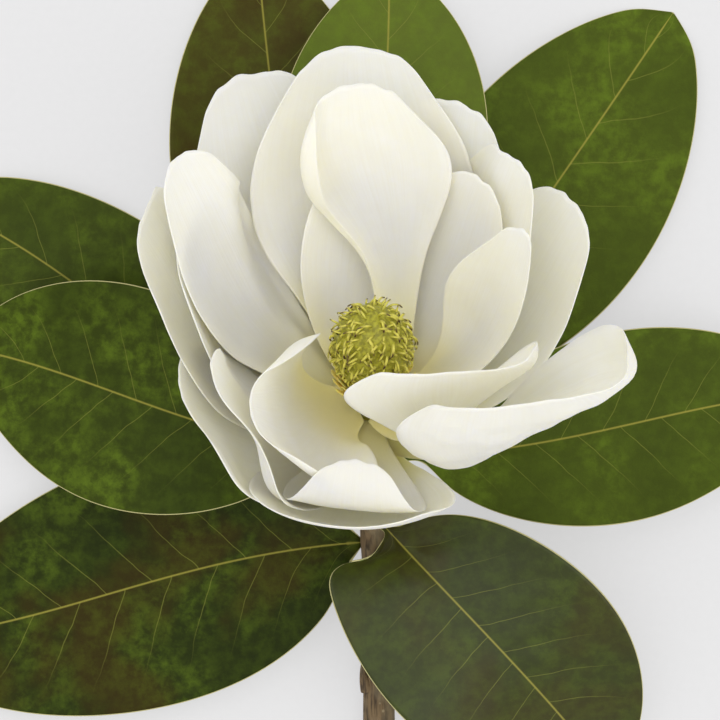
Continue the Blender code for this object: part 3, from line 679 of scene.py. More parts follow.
def cone_finish(settings):
    """Carpel flesh: fresh green, waxy, with yellow styles whose tips have dried brown."""
    finish, tree, shader = new_finish("fresh_carpel_green")
    where = add_node(tree, "TexCoord", {}, "Object")
    style = add_node(tree, "Attribute", {}, "Fac", attribute_name="style")
    dried = add_node(tree, "Attribute", {}, "Fac", attribute_name="dried")
    speckle = add_node(tree, "TexNoise", {"Vector": where, "Scale": 1 / (1.4 * MM), "Detail": 4.0})
    speckled = add_node(tree, "MapRange", {0: speckle, 1: 0.35, 2: 0.65}, **SOFT)
    flesh = add_node(tree, "Mix", {0: speckled, 6: linear("84801C"), 7: settings.green}, 2, **COLOURS)
    rising = add_node(tree, "MapRange", {0: style, 1: 0.05, 2: 0.6}, **SOFT)
    curl = add_node(tree, "Mix", {0: rising, 6: flesh, 7: settings.style}, 2, **COLOURS)
    colour = add_node(tree, "Mix", {0: dried, 6: curl, 7: settings.tip}, 2, **COLOURS)
    relief = add_node(tree, "Bump", {"Height": speckle, "Distance": 0.35 * MM, "Strength": 0.7})
    set_inputs(tree, shader, {
        "Roughness": 0.42,
        "Specular IOR Level": 0.4,
        "Base Color": colour,
        "Subsurface Weight": 0.15,
        "Subsurface Radius": (0.8, 1.0, 0.3),
        "Subsurface Scale": 1.5 * MM,
        "Normal": relief,
    })
    return finish


def stamen_finish(settings):
    """Stamen skin: soft, powdered with pollen, so it is matt and pale at the tip."""
    finish, tree, shader = new_finish("pollen_dusted_stamen")
    where = add_node(tree, "TexCoord", {}, "Object")
    height = add_node(tree, "Attribute", {}, "Fac", attribute_name="height")
    powder = add_node(tree, "TexNoise", {"Vector": where, "Scale": 1 / (0.8 * MM), "Detail": 3.0})
    powdered = add_node(tree, "MapRange", {0: powder, 1: 0.35, 2: 0.7}, **SOFT)
    yellow = add_node(tree, "Mix", {0: powdered, 6: linear("EEDC78"), 7: settings.stamen}, 2, **COLOURS)
    rising = add_node(tree, "MapRange", {0: height, 1: 0.0, 2: 0.55}, **SOFT)
    colour = add_node(tree, "Mix", {0: rising, 6: settings.stamen_foot, 7: yellow}, 2, **COLOURS)
    relief = add_node(tree, "Bump", {"Height": powder, "Distance": 0.1 * MM, "Strength": 0.5})
    set_inputs(tree, shader, {
        "Roughness": 0.7,
        "Specular IOR Level": 0.3,
        "Base Color": colour,
        "Subsurface Weight": 0.2,
        "Subsurface Scale": 1.2 * MM,
        "Normal": relief,
    })
    return finish


def leaf_finish(name, leaf, settings):
    """Evergreen leaf cuticle: leathery dark green under hard wax, mottled, with pale thin veins."""
    finish, tree, shader = new_finish(f"waxy_evergreen_{name}")
    blade = add_node(tree, "UVMap", {}, uv_map="blade")
    along = add_node(tree, "SeparateXYZ", {0: blade})
    crossways = add_node(tree, "SeparateXYZ", {0: blade}, 1)
    where = add_node(tree, "TexCoord", {}, "Object")
    from_midrib = add_node(tree, "Attribute", {}, "Fac", attribute_name="from_midrib")
    from_margin = add_node(tree, "Attribute", {}, "Fac", attribute_name="from_margin")
    # Side veins are counted from stalk to tip, and sweep towards the tip
    across = add_node(tree, "Math", {0: crossways, 1: 2.0, 2: -1.0}, operation="MULTIPLY_ADD")
    apart = add_node(tree, "Math", {0: across}, operation="ABSOLUTE")
    bent = add_node(tree, "Math", {0: apart, 1: LATERAL_BEND}, operation="POWER")
    sweep = add_node(tree, "Math", {0: bent, 1: -LATERAL_SWEEP}, operation="MULTIPLY")
    steps = add_node(tree, "Math", {0: along, 1: float(LATERALS), 2: sweep}, operation="MULTIPLY_ADD")
    left = add_node(tree, "Math", {0: across, 1: 0.0}, operation="GREATER_THAN")
    shifted = add_node(tree, "Math", {0: left, 1: LATERAL_OFFSET, 2: steps}, operation="MULTIPLY_ADD")
    stray = add_node(tree, "TexNoise", {"Vector": where, "Scale": 1 / (16 * MM)})
    count = add_node(tree, "Math", {0: stray, 1: 0.18, 2: shifted}, operation="MULTIPLY_ADD")
    inside = add_node(tree, "Math", {0: count}, operation="FRACT")
    off_line = add_node(tree, "Math", {0: inside, 1: 0.5}, operation="SUBTRACT")
    between = add_node(tree, "Math", {0: off_line}, operation="ABSOLUTE")
    # Two side veins lie about 15 mm apart, and one is about 0.4 mm wide
    line = add_node(tree, "MapRange", {0: between, 1: 0.004, 2: 0.018, 3: 1.0, 4: 0.0}, **SOFT)
    fading = add_node(tree, "MapRange", {0: apart, 1: 0.3, 2: 0.9, 3: 0.38, 4: 0.0}, **SOFT)
    lateral = add_node(tree, "Math", {0: line, 1: fading}, operation="MULTIPLY")
    # The pale midrib fades out 0.32 mm from its middle, the pale rim 0.4 mm from the edge
    midrib = add_node(tree, "MapRange", {0: from_midrib, 1: 0.0, 2: 0.32 * MM, 3: 0.75, 4: 0.0}, **SOFT)
    margin = add_node(tree, "MapRange", {0: from_margin, 1: 0.15 * MM, 2: 0.4 * MM, 3: 1.0, 4: 0.0}, **SOFT)
    # Soft mottles about 6 mm across gather in patches of 38 mm
    small = add_node(
        tree, "TexNoise", {"Vector": where, "Scale": 1 / (6 * MM), "Detail": 6.0, "Roughness": 0.65},
    )
    large = add_node(tree, "TexNoise", {"Vector": where, "Scale": 1 / (38 * MM)})
    spread = add_node(tree, "MapRange", {0: small, 1: 0.34, 2: 0.74}, **SOFT)
    gathered = add_node(tree, "MapRange", {0: large, 1: 0.4, 2: 0.62, 3: 0.15, 4: leaf.mottle}, **SOFT)
    cloudy = add_node(tree, "Math", {0: spread, 1: gathered}, operation="MULTIPLY")
    ground = add_node(tree, "Mix", {0: large, 6: linear(leaf.dark), 7: linear(leaf.light)}, 2, **COLOURS)
    green = add_node(tree, "Mix", {0: cloudy, 6: ground, 7: linear("647C1E")}, 2, **COLOURS)
    patch = add_node(tree, "TexNoise", {"Vector": where, "Scale": 1 / (45 * MM), "Detail": 3.0})
    bronzed = add_node(tree, "MapRange", {0: patch, 1: 0.46, 2: 0.62, 4: leaf.brown}, **SOFT)
    skin = add_node(tree, "Mix", {0: bronzed, 6: green, 7: settings.patch}, 2, **COLOURS)
    veined = add_node(tree, "Mix", {0: lateral, 6: skin, 7: settings.vein}, 2, **COLOURS)
    ribbed = add_node(tree, "Mix", {0: midrib, 6: veined, 7: settings.midrib}, 2, **COLOURS)
    rimmed = add_node(tree, "Mix", {0: margin, 6: ribbed, 7: settings.margin}, 2, **COLOURS)
    # The net of small veins has meshes about 2.5 mm wide
    cells = {"Vector": where, "Scale": 1 / (2.5 * MM)}
    net = add_node(tree, "TexVoronoi", cells, "Distance", feature="DISTANCE_TO_EDGE")
    netted = add_node(tree, "MapRange", {0: net, 1: 0.0, 2: 0.12}, **SOFT)
    fine = add_node(tree, "Bump", {"Height": netted, "Distance": 0.05 * MM, "Strength": 0.5})
    deepest = add_node(tree, "Math", {0: lateral, 1: midrib}, operation="MAXIMUM")
    sunken = {"Height": deepest, "Distance": 0.15 * MM, "Strength": 0.6, "Normal": fine}
    relief = add_node(tree, "Bump", sunken, invert=True)
    set_inputs(tree, shader, {
        "Roughness": blend(0.5, 0.3, leaf.gloss),
        "Specular IOR Level": 0.06,
        "Base Color": rimmed,
        "Coat Weight": leaf.gloss,
        "Coat Roughness": 0.3,
        "Coat IOR": blend(1.4, 1.9, leaf.gloss),
        "Normal": relief,
    })
    return finish


def underside_finish(settings):
    """Felted underside: a fine rusty nap over pale green, so it is quite matt."""
    finish, tree, shader = new_finish("felted_leaf_underside")
    where = add_node(tree, "TexCoord", {}, "Object")
    from_midrib = add_node(tree, "Attribute", {}, "Fac", attribute_name="from_midrib")
    nap = add_node(tree, "TexNoise", {"Vector": where, "Scale": 1 / (1.2 * MM), "Detail": 5.0})
    cloud = add_node(tree, "TexNoise", {"Vector": where, "Scale": 1 / (20 * MM)})
    clouded = add_node(tree, "MapRange", {0: cloud, 1: 0.35, 2: 0.65}, **SOFT)
    felt = add_node(tree, "Mix", {0: clouded, 6: settings.underside, 7: linear("6E7D45")}, 2, **COLOURS)
    hairy = add_node(tree, "MapRange", {0: nap, 1: 0.4, 2: 0.7, 4: 0.5}, **SOFT)
    napped = add_node(tree, "Mix", {0: hairy, 6: felt, 7: linear("8A6A3C")}, 2, **COLOURS)
    rib = add_node(tree, "MapRange", {0: from_midrib, 1: 0.6 * MM, 2: 1.4 * MM, 3: 1.0, 4: 0.0}, **SOFT)
    colour = add_node(tree, "Mix", {0: rib, 6: napped, 7: linear("A09A5A")}, 2, **COLOURS)
    relief = add_node(tree, "Bump", {"Height": nap, "Distance": 0.15 * MM, "Strength": 0.7})
    set_inputs(tree, shader, {
        "Roughness": 0.85,
        "Specular IOR Level": 0.25,
        "Base Color": colour,
        "Sheen Weight": 0.3,
        "Normal": relief,
    })
    return finish


def bark_finish(settings):
    """Young bark: grey-brown, finely furrowed lengthwise, with pale lenticels, dry and matt."""
    finish, tree, shader = new_finish("young_grey_brown_bark")
    where = add_node(tree, "TexCoord", {}, "Object")
    # Furrows are about 1.4 mm wide and 10 mm long
    drawn = add_node(tree, "Mapping", {0: where, 3: Vector((1.0, 0.14, 1.0)) / (1.4 * MM)})
    furrows = add_node(tree, "TexNoise", {"Vector": drawn, "Scale": 1.0, "Detail": 5.0})
    blotch = add_node(tree, "TexNoise", {"Vector": where, "Scale": 1 / (11 * MM), "Detail": 3.0})
    spots = add_node(tree, "TexVoronoi", {"Vector": where, "Scale": 1 / (5 * MM)}, "Distance")
    open_bark = add_node(tree, "MapRange", {0: furrows, 1: 0.35, 2: 0.62}, **SOFT)
    skin = add_node(tree, "Mix", {0: open_bark, 6: settings.furrow, 7: settings.bark}, 2, **COLOURS)
    greyed = add_node(tree, "MapRange", {0: blotch, 1: 0.45, 2: 0.7, 4: 0.55}, **SOFT)
    clouded = add_node(tree, "Mix", {0: greyed, 6: skin, 7: linear("8F8268")}, 2, **COLOURS)
    pores = add_node(tree, "MapRange", {0: spots, 1: 0.08, 2: 0.16, 3: 0.6, 4: 0.0}, **SOFT)
    colour = add_node(tree, "Mix", {0: pores, 6: clouded, 7: linear("A89A7C")}, 2, **COLOURS)
    relief = add_node(tree, "Bump", {"Height": furrows, "Distance": 0.5 * MM, "Strength": 0.8})
    set_inputs(tree, shader, {
        "Roughness": 0.82,
        "Specular IOR Level": 0.3,
        "Base Color": colour,
        "Normal": relief,
    })
    return finish


def cut_finish(settings):
    """Cut end grain: pale sapwood with fine rings round a darker pith, dry and matt."""
    finish, tree, shader = new_finish("cut_sapwood")
    where = add_node(tree, "TexCoord", {}, "Object")
    centre = Vector(TWIG_ROUTE[0]) * MM
    away = add_node(tree, "VectorMath", {0: where, 1: centre}, "Value", operation="DISTANCE")
    # Yearly rings lie about 0.9 mm apart, and the bark begins 5.4 mm from the pith's middle
    turns = add_node(tree, "Math", {0: away, 1: math.pi / (0.9 * MM)}, operation="MULTIPLY")
    wave = add_node(tree, "Math", {0: turns}, operation="SINE")
    rings = add_node(tree, "Math", {0: wave}, operation="ABSOLUTE")
    ringed = add_node(tree, "MapRange", {0: rings, 1: 0.2, 2: 0.9, 3: 0.5, 4: 0.0}, **SOFT)
    wood = add_node(tree, "Mix", {0: ringed, 6: settings.wood, 7: linear("A88E5E")}, 2, **COLOURS)
    pith = add_node(tree, "MapRange", {0: away, 1: 0.9 * MM, 2: 1.5 * MM, 3: 1.0, 4: 0.0}, **SOFT)
    cored = add_node(tree, "Mix", {0: pith, 6: wood, 7: linear("6E5638")}, 2, **COLOURS)
    skin = add_node(tree, "MapRange", {0: away, 1: 5.2 * MM, 2: 5.6 * MM}, **SOFT)
    barked = add_node(tree, "Mix", {0: skin, 6: cored, 7: settings.furrow}, 2, **COLOURS)
    relief = add_node(tree, "Bump", {"Height": rings, "Distance": 0.1 * MM, "Strength": 0.4})
    set_inputs(tree, shader, {
        "Roughness": 0.8,
        "Specular IOR Level": 0.25,
        "Base Color": barked,
        "Normal": relief,
    })
    return finish


def floor_finish(settings):
    """Backlit studio paper: matt and even, with a glow that turns it pale and lightens the shadows."""
    finish, tree, shader = new_finish("backlit_studio_paper")
    where = add_node(tree, "TexCoord", {}, "Object")
    grain = add_node(tree, "TexNoise", {"Vector": where, "Scale": 1 / (3 * MM), "Detail": 3.0})
    colour = add_node(tree, "Mix", {0: grain, 6: settings.floor, 7: linear("8A8A8B")}, 2, **COLOURS)
    set_inputs(tree, shader, {
        "Roughness": 0.95,
        "Specular IOR Level": 0.2,
        "Base Color": colour,
        "Emission Color": colour,
        "Emission Strength": settings.glow,
    })
    return finish


def row_neighbours(vertex, row):
    """The vertices of a row that edges join to a vertex."""
    return [edge.other_vert(vertex) for edge in vertex.link_edges if edge.other_vert(vertex) in row]


def in_order(row, first):
    """A row's vertices as its edges join them, from its first."""
    chain = [first]
    while len(chain) < len(row):
        following = [vertex for vertex in row_neighbours(chain[-1], row) if vertex not in chain]
        if not following:
            raise RuntimeError("a petal's row of points is broken")
        chain.append(following[0])
    return chain


def petal_points(node):
    """The middle of a petal's solid as rows of points, from claw to tip and clockwise side first."""
    solid = bmesh.new()
    solid.from_mesh(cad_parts[node].data)
    bmesh.ops.remove_doubles(solid, verts=solid.verts, dist=MERGE)
    rim = [face for face in solid.faces if min(edge.calc_length() for edge in face.edges) < THROUGH_WALL]
    bmesh.ops.delete(solid, geom=rim, context="FACES")
    solid.normal_update()
    ranked = sorted(solid.verts, key=lambda vertex: axis_radius(vertex.co))
    sheet = {ranked[0]}
    fresh = {ranked[0]}
    while fresh:
        fresh = {edge.other_vert(vertex) for vertex in fresh for edge in vertex.link_edges} - sheet
        sheet |= fresh
    row = set([vertex for vertex in ranked if vertex in sheet][:PETAL_COLUMNS + 1])
    ends = [vertex for vertex in row if len(row_neighbours(vertex, row)) == 1]
    ccw = AXIS.cross(sum((vertex.co for vertex in row), Vector()) / len(row) - HEART)
    first = min(ends, key=lambda vertex: vertex.co.dot(ccw))
    rows = []
    seen = set()
    while row:
        if len(row) != PETAL_COLUMNS + 1:
            raise RuntimeError(f"{node} has a row of {len(row)} points")
        rows.append([vertex.co - vertex.normal * PETAL_WALL / 2 for vertex in in_order(row, first)])
        seen |= row
        last = first
        row = {edge.other_vert(vertex) for vertex in row for edge in vertex.link_edges} - seen
        ends = [vertex for vertex in row if len(row_neighbours(vertex, row)) == 1]
        first = next((vertex for vertex in ends if vertex in row_neighbours(last, row)), None)
    if len(rows) != PETAL_ROWS + 1:
        raise RuntimeError(f"{node} has {len(rows)} rows of points")
    solid.free()
    return np.array(rows)


def spline_weights(shares, count):
    """How much each point of a row counts at some shares of its length.

    Half is the cubic that smooths the points, half the one that passes through them.
    """
    spans = count - 1
    weights = np.zeros((len(shares), count + 2))
    for index, share in enumerate(shares):
        step = min(int(share * spans), spans - 1)
        t = share * spans - step
        smoothing = np.array([(1 - t) ** 3, 3 * t**3 - 6 * t**2 + 4, 3 * (t + t**2 - t**3) + 1, t**3]) / 6
        passing = np.array(
            [2 * t**2 - t - t**3, 2 - 5 * t**2 + 3 * t**3, t + 4 * t**2 - 3 * t**3, t**3 - t**2]
        ) / 2
        weights[index, step:step + 4] = (smoothing + passing) / 2
    weights[:, 1] += 2 * weights[:, 0]
    weights[:, 2] -= weights[:, 0]
    weights[:, -2] += 2 * weights[:, -1]
    weights[:, -3] -= weights[:, -1]
    return weights[:, 1:-1]


def fine_sheet(points, rows, columns, reshape, along_at):
    """A fine open sheet through rows of points, with its blade map and its shares along and across.

    Reshape moves a share before it is placed. Along_at turns a row's share into a true one.
    """
    sheet = bmesh.new()
    bmesh.ops.create_grid(sheet, x_segments=rows, y_segments=columns, size=1.0)
    sheet.verts.index_update()
    shares = [((vertex.co.x + 1) / 2, (vertex.co.y + 1) / 2) for vertex in sheet.verts]
    moved = [reshape(along, across) for along, across in shares]
    by_row = spline_weights([along for along, across in moved], points.shape[0])
    by_column = spline_weights([across for along, across in moved], points.shape[1])
    places = np.einsum("ni,nj,ijk->nk", by_row, by_column, points)
    for vertex, place in zip(sheet.verts, places):
        vertex.co = place
    blade = sheet.loops.layers.uv.new("blade")
    for face in sheet.faces:
        for loop in face.loops:
            along, across = moved[loop.vert.index]
            loop[blade].uv = (along_at(along), across)
    sheet.normal_update()
    return sheet, [(along_at(along), across) for along, across in moved]


def rounded(along, across):
    """Rounds the two corners beside a petal's tip: a square's corner becomes a quarter disc."""
    a = max(along - CORNER_START, 0) / (1 - CORNER_START)
    b = max(abs(across - 0.5) - CORNER_SIDE, 0) / (0.5 - CORNER_SIDE)
    if a > 0 and b > 0:
        along = blend(CORNER_START, 1, a * math.sqrt(1 - b * b / 2))
        across = 0.5 + math.copysign(blend(CORNER_SIDE, 0.5, b * math.sqrt(1 - a * a / 2)), across - 0.5)
    return along, across


def add_petal(number, node, settings, finish):
    """One petal: a thin cupped blade with soft dents and a slightly uneven rim."""

    def reshape(along, across):
        along, across = rounded(along, across)
        wave = noise.noise(Vector((along * RIM_WAVES[0], across * RIM_WAVES[1], number * RIM_STEP)))
        unevenness = settings.ragged * (0.5 + wave)
        along -= unevenness * along**TIP_POWER
        beside = abs(2 * across - 1) ** SIDE_POWER
        across = 0.5 + (across - 0.5) * (1 - unevenness * beside * smooth(along, 0, CLAW))
        return along, across

    sheet, shares = fine_sheet(
        petal_points(node), settings.rows, settings.columns, reshape, lambda share: share**PETAL_ROW_SPREAD,
    )
    for vertex, (along, across) in zip(sheet.verts, shares):
        dent = noise.noise(vertex.co / settings.dent_size + Vector((0, 0, number * DENT_STEP)))
        lift = dent * settings.dent_depth
        if node == CREASED_PETAL:
            lift += noise.noise(vertex.co / settings.crease_size) * settings.crease_depth
        vertex.co += vertex.normal * lift * smooth(along, 0, CLAW)
        out = vertex.co - HEART
        out -= AXIS * out.dot(AXIS)
        vertex.co -= out.normalized() * FOOT_SINK * (1 - smooth(along, 0, FOOT))
    petal = new_object(node, sheet, [finish])
    body = petal.vertex_groups.new(name="body")
    for index, (along, across) in enumerate(shares):
        inside = min((1 - along) / TIP_BAND, (1 - abs(2 * across - 1)) / SIDE_BAND)
        body.add([index], smooth(inside, 0, 1), "REPLACE")
    add_wall(petal, settings.thickness, 0, "body", settings.rim_share)
    dress(petal, node)


class Spine:
    """The middle line of a blade, with the blade's across and face directions along it."""

    def __init__(self, start, start_way, end, end_way, across, roll):
        span = (end - start).length
        second = start + start_way * span * START_HANDLE
        third = end - end_way * span * END_HANDLE
        points = []
        for step in range(SPINE_STEPS + 1):
            t = step / SPINE_STEPS
            s = 1 - t
            points.append(start * s**3 + second * 3 * s * s * t + third * 3 * s * t * t + end * t**3)
        self.points = points
        self.frames = []
        self.lengths = [0.0]
        for step in range(SPINE_STEPS):
            piece = points[step + 1] - points[step]
            way = piece.normalized()
            side = across[0].lerp(across[1], step / (SPINE_STEPS - 1))
            side = Matrix.Rotation(roll, 3, way) @ (side - way * side.dot(way)).normalized()
            self.frames.append((side, way.cross(side)))
            self.lengths.append(self.lengths[-1] + piece.length)
        self.frames.append(self.frames[-1])
        self.length = self.lengths[-1]

    def at(self, share):
        """Place, across direction and face direction at a share of the length."""
        wanted = min(max(share, 0.0), 1.0) * self.length
        step = 0
        while step < SPINE_STEPS - 1 and self.lengths[step + 1] < wanted:
            step += 1
        inside = (wanted - self.lengths[step]) / (self.lengths[step + 1] - self.lengths[step])
        place = self.points[step].lerp(self.points[step + 1], inside)
        side = self.frames[step][0].lerp(self.frames[step + 1][0], inside).normalized()
        face = self.frames[step][1].lerp(self.frames[step + 1][1], inside).normalized()
        return place, side, face


def section(share, width, cup):
    """How far across and up a blade's section reaches at a share of its half width."""
    across = 0.0
    up = 0.0
    for step in range(SECTION_STEPS):
        angle = cup * share * (step + 0.5) / SECTION_STEPS
        across += math.cos(angle) * width * share / SECTION_STEPS
        up += math.sin(angle) * width * share / SECTION_STEPS
    return across, up


def leaf_outline(leaf, share, length):
    """Half width of a leaf along its length: a stalk, then an ellipse with a short point."""
    stalk = leaf.stalk * MM / length
    if share <= stalk:
        return STALK_HALF_WIDTH
    inside = min((share - stalk) / (1 - stalk), 1.0)
    power = math.log(0.5) / math.log(leaf.belly)
    ellipse = math.sin(math.pi * inside**power) ** LEAF_ROUND if inside < 1 else 0.0
    return max(leaf.half_width * MM * ellipse, blend(STALK_HALF_WIDTH, LEAF_TIP_HALF_WIDTH, inside))


def twig_route():
    """The twig's middle line, from its cut end to the foot of the bloom's axis."""
    return [Vector(place) * MM for place in TWIG_ROUTE] + [TWIG_TOP - TWIG_STRAIGHT, TWIG_TOP]


def twig_radius(y):
    """The twig's radius at a place along +Y."""
    return TWIG_RADIUS * blend(1.0, TWIG_THINNEST, smooth(y, *TWIG_TAPER))


def leaf_seat(leaf, way, face):
    """The middle of a leaf's upper face where its stalk stands on the twig's bark."""
    y = leaf.seat * MM
    route = twig_route()
    step = max(index for index, place in enumerate(route[:-1]) if place.y <= y)
    first, second = route[step], route[step + 1]
    middle = first.lerp(second, (y - first.y) / (second.y - first.y))
    along = (second - first).normalized()
    out = (way - along * way.dot(along)).normalized()
    half = MIDRIB_THICK / 2
    away = twig_radius(y) + STALK_SEAT_GAP - leaf.closer * MM + half * abs(face.dot(out))
    return middle + out * away + face * half


def leaf_spine(leaf):
    """The middle line of a leaf's upper face, from its seat on the twig to its tip."""
    base_turn = math.radians(leaf.base_heading)
    tip_turn = math.radians(leaf.tip_heading)
    way = heading(base_turn, math.radians(leaf.base_rise))
    side = heading(base_turn + QUARTER_TURN, 0)
    return Spine(
        leaf_seat(leaf, way, way.cross(side)),
        way,
        Vector(leaf.tip) * MM,
        heading(tip_turn, math.radians(leaf.tip_rise)),
        (side, heading(tip_turn + QUARTER_TURN, 0)),
        math.radians(leaf.roll),
    )


def spread_out(across, width):
    """A column's place across a leaf, closer to the midrib on the blade, and how far the blade has begun."""
    blade = smooth(width, *BLADE_WIDTHS)
    return math.copysign(abs(across) ** blend(1.0, COLUMN_EASE, blade), across), blade


def leaf_point(leaf, spine, phase, along, across):
    """A point of a leaf's upper surface. Along runs 0 to 1, across -1 to 1."""
    place, side, face = spine.at(along)
    width = leaf_outline(leaf, along, spine.length)
    share, blade = spread_out(across, width)
    out, up = section(abs(share), width, math.radians(leaf.cup) * blade)
    wave = math.sin(WAVES_ALONG * along + phase + WAVES_ACROSS * across)
    up += wave * LEAF_WAVE * abs(across) ** WAVE_POWER * blade
    back = -heading(math.radians(leaf.base_heading), 0) * leaf.lobe * MM
    back *= (1 - along) * max(-across, 0) ** LOBE_POWER * smooth(width, *LOBE_WIDTHS)
    return place + side * math.copysign(out, share) + face * up + back


def leaf_row(even):
    """How far along a leaf its solid's rows lie: closer together at both ends."""
    return blend(even, (1 - math.cos(math.pi * even)) / 2, ROW_EASE)


def laid_on(tree, place, middle):
    """A leaf's point at the height of its solid's upper face."""
    probe = place.lerp(middle, PROBE_IN)
    spot = tree.ray_cast(Vector((probe.x, probe.y, PROBE_HEIGHT)), DOWN)[0]
    if spot is None:
        spot = tree.find_nearest(place)[0]
    return Vector((place.x, place.y, spot.z))


def leaf_points(node, leaf, phase):
    """The upper face of a leaf's solid as rows of points, from stalk to tip."""
    solid = bmesh.new()
    solid.from_mesh(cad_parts[node].data)
    tree = BVHTree.FromBMesh(solid)
    solid.free()
    spine = leaf_spine(leaf)
    rows = []
    for row in range(LEAF_ROWS + 1):
        along = leaf_row(row / LEAF_ROWS)
        middle = spine.at(along)[0]
        places = [
            leaf_point(leaf, spine, phase, along, 2 * column / LEAF_COLUMNS - 1)
            for column in range(LEAF_COLUMNS + 1)
        ]
        rows.append([laid_on(tree, place, middle) for place in places])
    return np.array(rows), spine


def quilt(along, across):
    """How far a leaf swells between its side veins, from 0 on a vein to 1 between two."""
    apart = abs(across)
    count = along * LATERALS - LATERAL_SWEEP * apart**LATERAL_BEND + (LATERAL_OFFSET if across > 0 else 0)
    between = abs(count % 1 - 0.5) * 2
    fading = smooth(apart, 0, FLAT_MIDDLE) * (1 - smooth(apart, QUILT_FADE, 1))
    return (1 - (1 - between) ** 2) * fading


def add_leaf(number, node, leaf, settings, underside):
    """One leaf: a leathery blade, grooved along the midrib and quilted between its side veins."""
    points, spine = leaf_points(node, leaf, WAVE_STEP * number)
    sheet, shares = fine_sheet(
        points, settings.rows, settings.columns, lambda along, across: (along, across), leaf_row,
    )
    midrib_layer = sheet.verts.layers.float.new("from_midrib")
    margin_layer = sheet.verts.layers.float.new("from_margin")
    thick = []
    for vertex, (along, across) in zip(sheet.verts, shares):
        width = leaf_outline(leaf, along, spine.length)
        share, blade = spread_out(2 * across - 1, width)
        from_midrib = abs(share) * width
        vertex[midrib_layer] = from_midrib
        vertex[margin_layer] = min(width - from_midrib, (1 - along) * spine.length)
        groove = GROOVE_DEPTH * math.exp(-((from_midrib / GROOVE_WIDTH) ** 2)) * blade * (1 - along)
        swell = settings.quilting * quilt(along, share) * blade
        dome = (1 - blade) * STALK_DOME * share**2
        vertex.co += vertex.normal * (swell - groove - dome)
        ridge = math.exp(-((from_midrib / RIDGE_WIDTH) ** 2)) * blend(*RIDGE_SHARES, along)
        stalk = (1 - blade) * (1 - STALK_SIDES * share**2)
        thick.append(max(ridge, stalk) * (1 - smooth(along, THIN_TIP, 1)))
    piece = new_object(node, sheet, [leaf_finish(node, leaf, settings), underside])
    group = piece.vertex_groups.new(name="thick")
    for index, share in enumerate(thick):
        group.add([index], share, "REPLACE")
    wall = add_wall(piece, MIDRIB_THICK, -1, "thick", settings.thickness / MIDRIB_THICK)
    wall.material_offset = 1
    dress(piece, node)


def rising_edges(shape, height):
    """The edges that climb more than half of an upright shape's height."""
    return [edge for edge in shape.edges if abs(edge.verts[0].co.z - edge.verts[1].co.z) > height / 2]


def bent_horn(length, radius, tip_radius, bend, sides, steps):
    """A tapered horn along +Z from the origin that bends to +X, as a closed shape."""
    horn = bmesh.new()
    bmesh.ops.create_cone(
        horn, cap_ends=True, segments=sides, radius1=radius, radius2=tip_radius, depth=length,
    )
    bmesh.ops.translate(horn, verts=horn.verts, vec=(0, 0, length / 2))
    edges = rising_edges(horn, length)
    bmesh.ops.subdivide_edges(horn, edges=edges, cuts=steps - 1, use_grid_fill=True)
    style = horn.verts.layers.float.new("style")
    horn.verts.layers.float.new("dried")
    for vertex in horn.verts:
        share = vertex.co.z / length
        vertex[style] = share
        angle = bend * share
        rise = length * math.sin(angle) / bend
        sweep = length * (1 - math.cos(angle)) / bend
        beside_line = vertex.co.x
        vertex.co.x = sweep + beside_line * math.cos(angle)
        vertex.co.z = rise - beside_line * math.sin(angle)
    return horn


def cone_radius(height):
    """Radius of the green cone at a height along the bloom's axis."""
    return CONE_RADIUS * math.sqrt(max(0.0, 1 - ((height - CONE_MIDDLE) / CONE_HALF) ** 2))


def turned(outline, steps):
    """A closed shape turned round the bloom's axis from radius and height pairs."""
    shape = bmesh.new()
    chain = [shape.verts.new((radius, 0, height)) for radius, height in outline]
    for first, second in zip(chain, chain[1:]):
        shape.edges.new((first, second))
    bmesh.ops.spin(
        shape, geom=shape.verts[:] + shape.edges[:], cent=(0, 0, 0), axis=(0, 0, 1),
        angle=math.tau, steps=steps, use_merge=True,
    )
    bmesh.ops.remove_doubles(shape, verts=shape.verts, dist=MERGE)
    bmesh.ops.recalc_face_normals(shape, faces=shape.faces)
    return shape


def style_seats(kind, count):
    """Where styles stand on the cone: root, outward way, sideways way and share of the way to the top."""
    for number in range(count):
        share = (number + kind.first) / count
        height = blend(CONE_START + kind.above_start, CONE_TOP - kind.below_top, share)
        turn = number * GOLDEN_TURN + kind.turned_on
        radius = cone_radius(height)
        flat = heading(turn, 0)
        normal = (flat * radius * STYLE_FLARE + Vector((0, 0, height - CONE_MIDDLE))).normalized()
        sideways = heading(turn + QUARTER_TURN, 0)
        yield flat * radius + Vector((0, 0, height)), normal, sideways, share


def add_style(cone, kind, seat, length, radius, rng):
    """One style, which stands on its seat, curls down and aside, and is dry towards its tip."""
    place, normal, sideways, share = seat
    bend = math.radians(rng.uniform(*kind.bends))
    lean = DOWN + sideways * rng.uniform(-kind.swing, kind.swing)
    horn = bent_horn(length, radius, kind.tip_radius, bend, kind.sides, kind.steps)
    style = horn.verts.layers.float["style"]
    dried = horn.verts.layers.float["dried"]
    dryness = kind.dryness * smooth(share, *kind.dry_height)
    for vertex in horn.verts:
        vertex[dried] = dryness * smooth(vertex[style], *kind.dry_length)
    matrix = stand_on(place - normal * kind.sink, normal + Vector((0, 0, kind.rise)), lean)
    bmesh.ops.transform(horn, matrix=matrix, verts=horn.verts)
    add_part(cone, horn)


